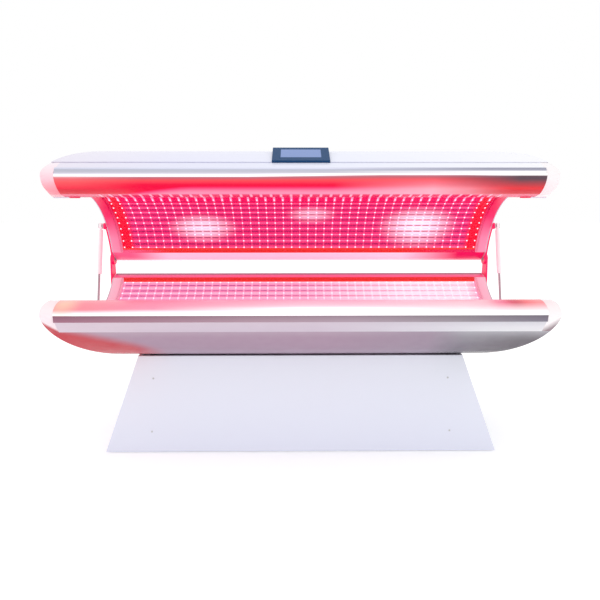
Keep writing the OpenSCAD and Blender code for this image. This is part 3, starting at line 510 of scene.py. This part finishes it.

# %% [markdown]
# All these colours are painted lamp light. The nose is salmon red with a thin dark line of
# painted shade at its edge, deepens to crimson, and turns pale pink towards the crest, a
# painted reflection of the lower half's lamps. The slope behind the crest is deep magenta
# with painted streaks of the lamps on it. The left end is salmon too and the right end a
# warmer red, and a pale stretch lies between the middle and the right end.

# %% The canopy's front rail
CANOPY_NOSE_STOPS = (
    (0.0, "#FFFFFF"), (0.0008, "#FFFFFF"), (0.0018, "#C8A0AA"), (0.0032, "#AC6470"),
    (0.0055, "#B85662"), (0.008, "#CA4E58"), (0.011, "#D8444E"), (0.016, "#E03846"),
    (0.021, "#E42846"), (0.028, "#DA0438"), (0.036, "#DA043C"), (0.044, "#E03468"),
    (0.055, "#E6688E"), (0.064, "#E6849F"), (0.074, "#E690AC"), (0.085, "#E08AAA"),
    (0.089, "#CF0052"), (RAIL_DEPTH, "#CF0052"))
LEFT_NOSE_STOPS = ((0.004, "#DCA0A4"), (0.009, "#D4626A"), (0.020, "#E04E54"), (0.034, "#E03848"),
                   (0.048, "#D80A34"), (0.058, "#C00024"), (CREST_RUN, "#C00024"))
RIGHT_NOSE_STOPS = ((0.020, "#D0242C"), (0.050, "#CC1C26"), (0.060, "#BC1226"))


def canopy_front_rail_colour(material, place):
    """Painted lamp light: salmon to crimson on the nose, with washes for both ends and painted streaks of the lamps.
    """
    across, back, height = place
    from_middle = add(material, "Math.ABSOLUTE", across)
    depth = shifted_depth(material, place, from_middle)
    nose = (back, CREST_RUN, CREST_EDGE, 0.0, 0.95)
    to_column = add(material, "Math.PINGPONG", lamp_columns(material, across), 0.5)
    return washed(
        material, colours_along(material, depth, CANOPY_NOSE_STOPS),
        # painted grey shade beside the accent strip on the left, and pale painted light on the right of the middle
        ("#CBC8D6", (across, 0.30, -0.20), (height, 0.6135, 0.6075)),
        ("#E4A8B6", (across, 0.12, 0.50), (across, 0.84, 0.64), (back, 0.006, 0.052), nose),
        # painted lamp light at the two ends, and painted shade on the grey edge of the nose at the right one
        (colours_along(material, back, LEFT_NOSE_STOPS), (across, -0.60, -0.85), (back, 0.003, 0.006), nose),
        (colours_along(material, back, RIGHT_NOSE_STOPS), (across, 0.50, 0.82), (back, 0.005, 0.008), nose),
        ("#54404A", (across, 0.50, 0.82), (back, 0.046, 0.010), (back, 0.001, 0.0035)),
        # a painted reflection: a pale streak behind the crest in line with each column of lamps
        ("#F0C0D4", (to_column, 0.33, 0.43, 0.0, 0.85), (back, CREST_RUN - 0.002, CREST_RUN + 0.004),
         (from_middle, 0.80, 0.76)))


print("the canopy's front rail has", len(CANOPY_NOSE_STOPS), "colour stops")

# %% [markdown]
# The rear rails are the same mouldings at the back. Their outer noses face away from the
# lamps and are a plain lavender grey. Only the side towards the trough is lit, in painted
# lamp light: dark crimson with pink on the bed, and pale pink on the canopy, redder at both
# ends. A wall that drops into the trough ends each of them with an orange red line of
# painted lamp light.

# %% Rear rails
WALL_EDGE = 0.1345               # the orange red line starts here
BED_REAR_STOPS = ((0.0, "#BCBCCC"), (0.040, "#C4B8C6"), (0.065, "#D890AC"), (0.078, "#801C48"),
                  (0.097, "#801C48"), (0.107, "#CC4878"), (0.132, "#D66088"),
                  (WALL_EDGE, "#C82818"), (RAIL_DEPTH, "#C82818"))
CANOPY_REAR_STOPS = ((0.0, "#BCBCCC"), (0.040, "#C8C0CC"), (0.065, "#F0C4D4"), (CREST_RUN, "#F4BCD0"),
                     (0.100, "#F8C8DC"), (0.132, "#F8C8DC"), (WALL_EDGE, "#CF2E1F"), (RAIL_DEPTH, "#CF2E1F"))


def bed_rear_rail_colour(material, place):
    """Its stops run forwards from the rear nose."""
    from_rear = add(material, "Math.SUBTRACT", BED_DEPTH, place.back)
    return colours_along(material, from_rear, BED_REAR_STOPS)


def canopy_rear_rail_colour(material, place):
    """The same, with the side towards the trough redder at both ends."""
    from_rear = add(material, "Math.SUBTRACT", BED_DEPTH, place.back)
    inner_side = add(material, "MapRange", from_rear, 0.045, 0.065)
    return washed(
        material, colours_along(material, from_rear, CANOPY_REAR_STOPS),
        ("#D75A82", add(material, "MapRange.SMOOTHSTEP", place.across, -0.62, -0.84), inner_side),
        ("#CB0F51", (place.across, 0.50, 0.78), inner_side))


RAIL_COLOURS = {("bed", "front"): bed_front_rail_colour, ("bed", "rear"): bed_rear_rail_colour,
                ("canopy", "front"): canopy_front_rail_colour, ("canopy", "rear"): canopy_rear_rail_colour}
# painted lamp light: a glow in each rail's own colour
RAIL_GLOW = {"front": 0.25, "rear": 0.5}
rails = {(half, end): moulded(half + "_" + end + "_rail_lit", half, colour_of, roughness=0.24,
                              specular=0.2, glow=RAIL_GLOW[end], ripple=0.08, detail=1.0,
                              stretch=0.3)
         for (half, end), colour_of in RAIL_COLOURS.items()}
print("rails:", *(material.name for material in rails.values()))

# %% [markdown]
# A rib closes the trough at each end. The ribs are satin mouldings, a little rougher than
# the rails, and stand in the lamps' light from end to end, so they get the same painted
# glow as the rails. Their colours are painted lamp light too: the bed's are an even pale
# pink, and the canopy's turn deep magenta towards the front.

# %% End ribs
BED_RIB_STOPS = ((0.12, "#E2B2C6"), (0.40, "#E4B8CA"), (0.74, "#E4BCCC"))
CANOPY_RIB_STOPS = ((0.12, "#D10041"), (0.48, "#D80052"), (0.54, "#DC2062"), (0.60, "#E05C88"),
                    (0.66, "#E285A6"), (0.74, "#E393AF"))


def bed_rib_colour(material, place):
    """Painted lamp light, an even pale pink."""
    return colours_along(material, place.back, BED_RIB_STOPS)


def canopy_rib_colour(material, place):
    """Painted lamp light, deep magenta in front and pink at the back."""
    return colours_along(material, place.back, CANOPY_RIB_STOPS)


ribs = {half: moulded(half + "_lit_rib", half, colour_of, roughness=0.3, specular=0.2,
                      glow=0.25, ripple=0.1)
        for half, colour_of in (("bed", bed_rib_colour), ("canopy", canopy_rib_colour))}
print("ribs:", *(material.name for material in ribs.values()))

# %% [markdown]
# Metal parts are drawn: pulled through a die, which leaves hair lines along their length.
# So the grain is a noise stretched a hundredfold along X. Real hair lines are about 0.05 mm
# wide. They are drawn at 0.8 mm here, because finer ones would not show in the picture. The
# eye sees them as a highlight that spreads across the piece and stays narrow along it.

# %% Drawn metals
HAIR_LINE_MM = 0.8
HAIR_LINE_RUN = (0.01, 1.0, 1.0)


def drawn_metal(name, colour, roughness, metallic=1.0):
    """A drawn metal with hair lines along X."""
    material, shader = blank(name)
    point = add(material, "Mapping", add(material, "TexCoord", out="Object"), Scale=HAIR_LINE_RUN)
    grain = add(material, "TexNoise", point, per_mm(HAIR_LINE_MM), 3.0)
    fill(shader, {"Base Color": colour, "Metallic": metallic,
                  "Roughness": add(material, "MapRange", grain, 0.0, 1.0, roughness - 0.05, roughness + 0.08),
                  "Normal": add(material, "Bump", 0.08, 0.05 * MM, Height=grain)})
    return material


def recoloured(material, colour):
    """Gives a finished metal a colour that changes over the piece."""
    fill(material.node_tree.nodes["Principled BSDF"], {"Base Color": colour})
    return material


# bright and a little blue, as passivated zinc is
zinc = drawn_metal("zinc_plated_steel", "#C9C9CE", roughness=0.28)
# ground and polished chrome, with a painted pink reflection of the lamps that it mirrors
chrome_rod = drawn_metal("hard_chromed_rod", "#B89CA6", roughness=0.2, metallic=0.6)
print("drawn metals:", zinc.name, chrome_rod.name)

# %% [markdown]
# The accent strip and the lower band are aluminium sections with a satin anodised skin. The
# skin is clear oxide, so the metal looks soft, and it is given only half its metal
# reflection. The strip on the canopy shows a painted reflection of the bright room, a grey
# and white line that changes sides from left to right. The bed's strip shows a painted
# reflection of the lit rails, warm at the left and cool at the right, with painted shade
# towards its top edge.

# %% Accent strips and the lower band, in satin anodised aluminium
BED_STRIP_STOPS = ((-0.9, "#A06C80"), (-0.2, "#AC909E"), (0.2, "#AC98A6"), (0.6, "#989098"), (0.9, "#807A88"))
LEFT_STRIP_STOPS = ((ACCENT_LOW, "#DCDEEE"), (0.5835, "#D6D8EA"), (0.588, "#BABCCC"), (0.592, "#BABCCA"),
                    (0.597, "#C2C0CE"), (0.602, "#CECCDA"), (0.6045, "#FFFFFF"), (ACCENT_HIGH, "#FFFFFF"))
RIGHT_STRIP_STOPS = ((ACCENT_LOW, "#9C9CAE"), (0.588, "#9E9EB0"), (0.592, "#C4C4D2"), (0.595, "#FFFFFF"),
                     (ACCENT_HIGH, "#FFFFFF"))
BAND_STOPS = ((SEAM_HEIGHT, "#E2E2E6"), (0.552, "#DEDDE3"), (ACCENT_LOW, "#CECCD4"))


def accent_metal(half):
    """The strip's metal with painted light: the reflection of the rails and of the bright room."""
    material = drawn_metal(half + "_grey_accent", "#A0889A", roughness=0.38, metallic=0.4)
    across, _, height = profile_place(material, half)
    # the bed's strip: a painted reflection of the lit rails, and painted shade towards its top edge
    if half == "bed":
        return recoloured(material, washed(material, colours_along(material, across, BED_STRIP_STOPS),
                                           ("#4C3440", (height, ACCENT_LOW, ACCENT_HIGH, 0.0, 0.30))))
    # the canopy's strip: a painted reflection of the bright room in grey and white
    right = colours_along(material, height, RIGHT_STRIP_STOPS)
    return recoloured(material, washed(material, colours_along(material, height, LEFT_STRIP_STOPS),
                                       (right, (across, 0.1, 0.7))))


def band_metal():
    """The lower half's band: lilac over most of its length in painted lamp light, and silver at its right end, with
    painted shade towards the strip.
    """
    material = drawn_metal("bed_satin_band", "#D2C4D0", roughness=0.32, metallic=0.5)
    across, _, height = profile_place(material, "bed")
    silver = colours_along(material, height, BAND_STOPS)
    return recoloured(material, washed(material, "#D2C4D0", (silver, (across, 0.05, 0.70))))


bands = {"bed": band_metal(), "canopy": shells["canopy"]}
accents = {half: accent_metal(half) for half in ("bed", "canopy")}
print("anodised:", bands["bed"].name, *(material.name for material in accents.values()))

# %% [markdown]
# Behind the clear acrylic lies a bright reflector, and on it the light strips. When the bed
# is on, red light fills that space. The pattern is counted in lamp columns along X and in
# strips round the arc, so it stays with the lenses that are made later. The light also has
# a side: only what faces the trough glows, and the back of the tray is plain grey metal.

# %% Grid of strips and lamps
TRAY_MIDDLE = 0.4129             # radius halfway through the reflector tray
TRAY_SKIN = 0.0003               # half the width of the border between lit and plain
END_FADE = 0.025                 # length over which the light begins at a strip's end
Grid = namedtuple("Grid", "row column to_row to_column inside radius")


def lamp_grid(material, place, end_margin):
    """Counts strips and lamps; to_row and to_column are 0 between them and 0.5 on them."""
    off_axis = add(material, "Math.SUBTRACT", place.back, TROUGH_AXIS.y + NOSE_BACK)
    below_axis = add(material, "Math.SUBTRACT", TROUGH_AXIS.z, place.height)
    angle = add(material, "Math.ARCTAN2", off_axis, below_axis)
    row = add(material, "Math.ADD", add(material, "Math.DIVIDE", angle, ROW_ANGLE), ROWS / 2)
    column = lamp_columns(material, place.across)
    from_end = add(material, "Math.SUBTRACT", LIGHT_HALF, add(material, "Math.ABSOLUTE", place.across))
    return Grid(row, column, add(material, "Math.PINGPONG", row, 0.5),
                add(material, "Math.PINGPONG", column, 0.5),
                add(material, "MapRange", from_end, end_margin, end_margin + END_FADE),
                straight_distance(material, off_axis, below_axis))


print("strips:", ROWS, "with", COLUMNS, "lamps each")

# %% [markdown]
# Each lamp draws a pale streak across its strip, and a thin dark line shows between strips.
# The canopy also shows a few soft hot spots, painted reflections of the studio's lamps, and
# its front strips, seen at a low angle, only as broad streaks on crimson. The lower half is
# seen at a flat angle too, which washes it out to pink. An orange red line of reflector is
# left bare along both long edges.

# %% Colours of the lit boards and the reflector
LIT_COLOURS = {                  # at the ends, on the streaks and on the lines between strips
    "canopy": ("#D00020", "#F09CC4", "#701048"),
    "bed": ("#E088AC", "#FFF0F6", "#985088"),
}
CANOPY_WASH_STOPS = ((0.0, "#D00050"), (10.0, "#D00050"), (11.0, "#CC1860"), (15.0, "#CC2468"),
                     (19.0, "#C82C66"))
BED_WASH_STOPS = ((-0.87, "#E08CB0"), (0.0, "#E2A4C0"), (0.5, "#F4DCE4"), (0.8, "#F0D8E0"), (0.87, "#E4A8BC"))
STUDIO_LAMP_REFLECTIONS = {                    # column and row of the centre, half widths in both, strength
    "canopy": ((10.6, 15.3, 4.8, 2.8, 0.9), (37.0, 15.0, 5.4, 4.2, 1.0), (23.9, 12.9, 3.4, 2.0, 0.55)),
    "bed": (),
}
DIRECT_ROW = {"canopy": 10.0, "bed": -1.0}   # rows in front of this one show as broad streaks
END_MARGIN = {"canopy": 0.05, "bed": 0.0}    # the canopy's strips end in bare red


def studio_lamp_reflection(material, grid, column, row, half_columns, half_rows, strength):
    """A wash for one painted reflection of a studio lamp, a soft hot spot."""
    across = add(material, "Math.DIVIDE", add(material, "Math.SUBTRACT", grid.column, column), half_columns)
    around = add(material, "Math.DIVIDE", add(material, "Math.SUBTRACT", grid.row, row), half_rows)
    away = straight_distance(material, across, around)
    return "#FFE6F2", add(material, "MapRange.SMOOTHSTEP", away, 1.0, 0.1, 0.0, strength)


def streaks(material, grid, direct):
    """Share of the lamps' streaks: thin where seen straight on, broad in front of that."""
    thin = add(material, "Math.MULTIPLY", add(material, "MapRange", grid.to_column, 0.43, 0.47),
               add(material, "MapRange", grid.to_row, 0.0, 0.45, 0.1, 0.5))
    broad = add(material, "Math.MULTIPLY", add(material, "MapRange", grid.to_column, 0.33, 0.42, 0.0, 0.85),
                add(material, "Math.SUBTRACT", 1.0, direct))
    return add(material, "Math.MAXIMUM", add(material, "Math.MULTIPLY", thin, grid.inside), broad)


print("hot spots on the canopy:", len(STUDIO_LAMP_REFLECTIONS["canopy"]))

# %% [markdown]
# The strips are boards of aluminium and the reflector is a polished sheet of it. Behind the
# acrylic and with the lamps on, the eye can't tell one from the other and sees only their
# light. So both get the same picture of light as a glow of their own, and hardly any
# reflection besides.

# %% Lit boards and reflector
LIT_GLOW = 0.75


def lit_surface(half, kind):
    """The light on a half's boards or on its reflector tray."""
    material, shader = blank(half + "_lit_" + kind)
    place = profile_place(material, half)
    grid = lamp_grid(material, place, END_MARGIN[half])
    end_colour, streak_colour, line_colour = LIT_COLOURS[half]
    if half == "canopy":
        wash = colours_along(material, grid.row, CANOPY_WASH_STOPS)
        line = (grid.to_row, 0.17, 0.11, 0.0, 0.75)
    else:
        wash = colours_along(material, place.across, BED_WASH_STOPS)
        weaker = add(material, "MapRange", place.across, 0.8, -0.3, 0.3, 0.9)
        line = add(material, "Math.MULTIPLY", add(material, "MapRange", grid.to_row, 0.17, 0.11), weaker)
    direct = add(material, "MapRange", grid.row, DIRECT_ROW[half] - 0.1, DIRECT_ROW[half] + 0.1)
    from_middle_row = add(material, "Math.ABSOLUTE", add(material, "Math.SUBTRACT", grid.row, ROWS / 2))
    colour = washed(
        material, end_colour, (wash, grid.inside),
        *(studio_lamp_reflection(material, grid, *spot) for spot in STUDIO_LAMP_REFLECTIONS[half]),
        (line_colour, line, direct, grid.inside, (grid.to_column, 0.36, 0.44, 1.0, 0.35)),
        (streak_colour, streaks(material, grid, direct)),
        (streak_colour, (grid.to_row, 0.42, 0.46, 0.0, 0.5), direct, grid.inside),
        ("#D03420", (from_middle_row, ROWS / 2 - 0.42, ROWS / 2 - 0.34)))
    facing = (grid.radius, TRAY_MIDDLE + TRAY_SKIN, TRAY_MIDDLE - TRAY_SKIN)
    colour = washed(material, "#A8A8AE", (colour, facing))
    fill(shader, {"Base Color": colour, "Emission Color": colour, "Roughness": 0.5,
                  "Specular IOR Level": 0.1,
                  "Emission Strength": add(material, "MapRange", *facing, 0.0, LIT_GLOW)})
    return material


lit_boards = {half: lit_surface(half, "board") for half in ("bed", "canopy")}
lit_trays = {half: lit_surface(half, "reflector") for half in ("bed", "canopy")}
print("lit surfaces:", *(material.name for material in (*lit_boards.values(), *lit_trays.values())))

# %% [markdown]
# The lamps' lenses are clear epoxy domes and the control panel's screen is a glass sheet
# over a backlight. Both give light themselves. Neither is quite even, so the strength of
# the glow drifts by a tenth over a hand's width.

# %% Glowing lenses and screen
CLOUD_MM = 220.0


def glowing(name, hex_base, hex_glow, strength):
    """A smooth surface that gives light, slightly cloudy."""
    material, shader = blank(name)
    cloud = add(material, "TexNoise", add(material, "TexCoord", out="Object"), per_mm(CLOUD_MM), 1.0)
    fill(shader, {"Base Color": hex_base, "Emission Color": hex_glow, "Roughness": 0.2,
                  "Emission Strength": add(material, "MapRange", cloud, 0.0, 1.0,
                                           strength * 0.9, strength * 1.1)})
    return material


lens_glow = glowing("lit_lens", "#FFE8F2", "#FFE0F0", 1.1)
screen_glass = glowing("lit_touch_screen", "#3C5078", "#6C8CD0", 0.5)
print("glowing:", lens_glow.name, screen_glass.name)

# %% [markdown]
# The trough is lined with a clear sheet of cast acrylic, bent warm over a former. Seen
# against lamps it nearly vanishes: what is left is a faint rosy veil, a gloss, and a slow
# wave from the bending. An alpha of a few hundredths shows that better than true
# refraction, which would need many light paths and bend the rows of lamps out of line.

# %% Clear acrylic
BENDING_WAVE_MM = 120.0
SHEET_IOR = 1.35                 # acrylic has 1.49, but that much gloss hides the lamps
acrylic_clear, acrylic_shader = blank("clear_acrylic_sheet")
bending_wave = add(acrylic_clear, "TexNoise", add(acrylic_clear, "TexCoord", out="Object"),
                   per_mm(BENDING_WAVE_MM), 1.0)
fill(acrylic_shader, {"Base Color": "#FF5890", "Alpha": 0.06, "Roughness": 0.08, "IOR": SHEET_IOR,
                      "Normal": add(acrylic_clear, "Bump", 0.1, MM, Height=bending_wave)})
print("clear sheet:", acrylic_clear.name)

# %% [markdown]
# The smaller finishes all have a fine even texture: from a mould that was etched, from
# powder that melted, or from sand in a casting. The real grain is 0.1 to 0.3 mm. It is
# drawn at 0.6 to 2 mm here, coarse enough to show, as a slight bump and a drift of the
# roughness, which break up an edge's highlight.

# %% Plain finishes
def textured(name, hex_colour, roughness, grain_mm=1.2, metallic=0.0, glow=0.0, specular=0.5):
    """A finish with a fine, even grain."""
    material, shader = blank(name)
    grain = add(material, "TexNoise", add(material, "TexCoord", out="Object"), per_mm(grain_mm), 2.0)
    fill(shader, {"Base Color": hex_colour, "Metallic": metallic, "Specular IOR Level": specular,
                  "Roughness": add(material, "MapRange", grain, 0.0, 1.0, roughness - 0.04, roughness + 0.06),
                  "Normal": add(material, "Bump", 0.12, 0.08 * MM, Height=grain)})
    # a glow in the finish's own colour: painted lamp light on the hinge arms and struts, the floor's even brightness
    if glow > 0.0:
        fill(shader, {"Emission Color": hex_colour, "Emission Strength": glow})
    return material


rubber = textured("black_rubber", "#17171A", 0.62)                    # soft and dull feet
black_plastic = textured("black_moulded_plastic", "#1C1C22", 0.5)     # etched ABS, half matt
spacer_black = textured("black_shadow_spacer", "#1C1A2A", 0.7)        # matt, to read as a shadow
frame_paint = textured("powder_coated_steel", "#3C3C42", 0.5)         # dark, orange-peel satin
lamp_lit_arm_steel = textured("white_steel_in_painted_lamp_light", "#E00058", 0.4, glow=0.4)      # white steel; its red and its glow are painted lamp light
lamp_lit_strut_enamel = textured("pale_painted_cylinder", "#FFF0F2", 0.3, glow=0.1)     # white stove enamel; its faint pink and its glow are painted lamp light
former_sheet = textured("white_former_sheet", "#E4E4E8", 0.5)         # sawn PVC foam board
# pressed powder, whose pores show, and a die casting, bright and grainy
bronze = textured("sintered_bronze", "#B07A42", 0.45, grain_mm=0.6, metallic=1.0)
supply_metal = textured("cast_supply_case", "#B9BABF", 0.4, grain_mm=0.8, metallic=1.0)
panel_blue = textured("slate_blue_bezel", "#1A446F", 0.45, specular=0.12)     # moulded, low gloss
rocker_red = textured("red_rocker", "#B81420", 0.3)                   # polished nylon
print("plain finishes made")

# %% [markdown]
# The pedestal's boards are faced with white melamine: paper soaked in resin and pressed on
# chipboard with a pearl texture, which gives a soft, even sheen. Near the floor the boards
# get less of the lamp above, and so their white is a touch greyer there.

# %% Melamine-faced board
BOARD_STOPS = ((0.0, "#E0E2F2"), (0.4, "#F2F5FF"))
melamine = textured("white_melamine_board", "#E6E7F8", 0.42, grain_mm=2.0)
above_floor = add(melamine, "SeparateXYZ", add(melamine, "TexCoord", out="Object"), out="Z")
recoloured(melamine, colours_along(melamine, above_floor, BOARD_STOPS))
print("board:", melamine.name)

# %% [markdown]
# The frame's solids come from flat facets. A copy of such a mesh, with its doubled corners
# merged and its coplanar triangles joined, can be rounded: a small bevel on every real
# corner catches the light, and the facets of a curve are shaded smooth.

# %% Rounding a copy of a solid
SHARP = math.radians(32.0)       # a bend above this is a real corner
SAME_POINT = 0.02 * MM
FLAT_ENOUGH = math.radians(0.4)


def object_from(shape, name, material):
    """Turns a bmesh into a smooth-shaded object with one material."""
    for face in shape.faces:
        face.smooth = True
    mesh = bpy.data.meshes.new(name)
    shape.to_mesh(mesh)
    shape.free()
    mesh.materials.append(material)
    piece = bpy.data.objects.new(name, mesh)
    bpy.context.scene.collection.objects.link(piece)
    return piece


def corners_of(shape):
    """The edges where two faces meet at a real corner."""
    return [e for e in shape.edges if len(e.link_faces) == 2 and e.calc_face_angle(0.0) > SHARP]


def rounded(node, material, radius_mm, body):
    """A bevelled, smooth-shaded copy of a frame solid, standing for it."""
    shape = bmesh.new()
    shape.from_mesh(nodes[node].data)
    bmesh.ops.remove_doubles(shape, verts=shape.verts, dist=SAME_POINT)
    bmesh.ops.dissolve_limit(shape, angle_limit=FLAT_ENOUGH, verts=shape.verts, edges=shape.edges)
    if radius_mm > 0.0:
        bmesh.ops.bevel(shape, geom=corners_of(shape), offset=radius_mm * MM, segments=2,
                        affect="EDGES", profile=0.5, material=-1, clamp_overlap=True)
    for edge in corners_of(shape):
        edge.smooth = False
    piece = object_from(shape, node + "_rounded", material)
    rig.ride(piece, body)
    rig.replaces(piece, node)


print("a corner is an edge that bends more than", round(math.degrees(SHARP)), "degrees")

# %% [markdown]
# Now each moulding is rounded as its real edges are: hardly at all on the rails, where two
# pieces meet flush, by a millimetre on the caps and by two on the ribs, which a hand may
# touch. The shells and bands keep sharp edges, because they end in a joint.

# %% Rounded mouldings, each riding on its half
BODY_OF = {"bed": "base", "canopy": "canopy"}
for half, body in BODY_OF.items():
    rounded(half + "_shell", shells[half], 0.0, body)
    rounded(half + "_front_rail", rails[half, "front"], 0.6, body)
    rounded(half + "_rear_rail", rails[half, "rear"], 0.6, body)
    rounded(half + "_front_band", bands[half], 0.0, body)
    rounded(half + "_accent_strip", accents[half], 0.4, body)
    for side in ("left", "right"):
        rounded(half + "_cap_" + side, caps[half], 1.0, body)
        rounded(half + "_rib_" + side, ribs[half], 2.0, body)
print("moulded pieces rounded")

# %% [markdown]
# The other solids are right as they stand: sheets, tubes, pins and boards with the crisp
# edges that such parts have. They stay in the frame and only get their finish, by putting
# the new material into every slot in place of the plain one.

# %% Finishes on pieces that keep their own shape
def finish(material, *names):
    """Gives frame solids a finish in place of their plain one."""
    for name in names:
        slots = nodes[name].data.materials
        if len(slots) == 0:
            slots.append(material)
        for index in range(len(slots)):
            slots[index] = material


for half in BODY_OF:
    finish(acrylic_clear, half + "_acrylic")
    finish(lit_boards[half], half + "_light_strips")
    finish(lit_trays[half], half + "_reflector_tray")
    finish(former_sheet, half + "_formers")
    finish(supply_metal, half + "_power_supplies")
    finish(black_plastic, half + "_fan_frames", half + "_fan_rotor_left", half + "_fan_rotor_right")
for side in ("left", "right"):
    finish(lamp_lit_arm_steel, "hinge_arm_" + side, "hinge_bracket_" + side)
    finish(chrome_rod, "strut_rod_" + side)
    finish(lamp_lit_strut_enamel, "strut_cylinder_" + side)
    finish(melamine, "pedestal_" + side + "_panel")
finish(melamine, "pedestal_front_panel", "pedestal_back_panel")
finish(panel_blue, "control_panel_housing")
finish(screen_glass, "control_panel_screen")
finish(bronze, "hinge_bushes")
finish(zinc, "hinge_pins", "upper_strut_studs", "lower_strut_studs", "panel_screws")
finish(spacer_black, "shadow_spacer")
finish(frame_paint, "pedestal_frame")
finish(rubber, "levelling_feet")
finish(black_plastic, "power_inlet")
finish(rocker_red, "rocker_switch")
print("finishes given")

# %% [markdown]
# Each light strip carries a row of small lenses, about 39 mm apart. They sit on the board
# and point at the centre line of the trough. One low dome is made, and copies of it are
# turned round the centre line and stepped along the length. There are 1710 of them, so a
# dome has only eight sides and a flat top.

# %% Light lenses
LENS_RADIUS = 0.0048
LENS_TOP = LENS_RADIUS * 0.6     # radius of the flat on top
LENS_RISE = LENS_RADIUS * 0.7
SHEET_THICK = 0.006              # of the clear acrylic
BOARD_GAP = 0.007                # from its back to the boards
BOARD_RADIUS = ARC_RADIUS + SHEET_THICK + BOARD_GAP


def lenses():
    """Rows of low domes on the boards of the lower half."""
    shape = bmesh.new()
    for row in range(ROWS):
        turn = Matrix.Rotation((row - (ROWS - 1) / 2.0) * ROW_ANGLE, 4, "X")
        for column in range(COLUMNS):
            x = (column - (COLUMNS - 1) / 2.0) * COLUMN_PITCH
            place = Matrix.Translation(TROUGH_AXIS) @ turn @ Matrix.Translation((x, 0.0, -BOARD_RADIUS))
            bmesh.ops.create_cone(shape, cap_ends=False, segments=8, radius1=LENS_RADIUS,
                                  radius2=LENS_TOP, depth=LENS_RISE, matrix=place)
            bmesh.ops.create_circle(shape, cap_ends=True, segments=8, radius=LENS_TOP,
                                    matrix=place @ Matrix.Translation((0.0, 0.0, LENS_RISE / 2.0)))
    return shape


print("a lens is", round(2.0 * LENS_RADIUS / MM, 1), "mm wide and", round(LENS_RISE / MM, 1), "mm high")

# %% [markdown]
# The domes of the canopy are made as if for the lower half, and then turned over and swung
# up. Turning over mirrors them, which would leave their faces pointing inwards, and so the
# faces are reversed afterwards.

# %% Lenses on both halves
def into_open_canopy(shape):
    """Turns lower-half geometry over into the canopy as it stands open."""
    flip = Matrix.Translation((0.0, 0.0, 2.0 * CLOSING_HEIGHT)) @ Matrix.Scale(-1.0, 4, (0.0, 0.0, 1.0))
    swing = Matrix.Translation(HINGE) @ Matrix.Rotation(-OPEN_ANGLE, 4, "X") @ Matrix.Translation(-HINGE)
    bmesh.ops.transform(shape, matrix=swing @ flip, verts=shape.verts)
    bmesh.ops.reverse_faces(shape, faces=shape.faces)


bed_domes, canopy_domes = lenses(), lenses()
into_open_canopy(canopy_domes)
bed_lenses = object_from(bed_domes, "bed_lenses", lens_glow)
canopy_lenses = object_from(canopy_domes, "canopy_lenses", lens_glow)
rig.ride(bed_lenses, "base")
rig.ride(canopy_lenses, "canopy")
print("lenses:", 2 * ROWS * COLUMNS)

# %% [markdown]
# The floor is one pale sheet of painted board, large enough that its edge never shows. Its
# weak glow keeps it as white as the room round it, and only the soft shadow of the pedestal
# and of the hull is left to show where the bed stands. The roller's texture is drawn at
# 8 mm, some four times as coarse as it is, because the floor is seen from furthest away.

# %% Floor
FLOOR_HALF = 14.0
floor_shape = bmesh.new()
bmesh.ops.create_grid(floor_shape, x_segments=1, y_segments=1, size=FLOOR_HALF)
floor_paint = textured("pale_studio_floor", "#FFFFFF", 0.8, grain_mm=8.0, glow=0.2)
floor = object_from(floor_shape, "floor", floor_paint)
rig.stage(floor)
print("floor:", 2.0 * FLOOR_HALF, "m wide")

# %% [markdown] Last, the box round everything is measured again and written down beside
# the frame's own box.

# %% Sizes and hand-over
dressed_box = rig.bounds()
with open("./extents.json", "w") as size_file:
    json.dump({"cad": [list(map(float, c)) for c in cad_box],
               "dressed": [list(map(float, c)) for c in dressed_box]}, size_file, indent=1)
print("boxes written:", size_file.name)
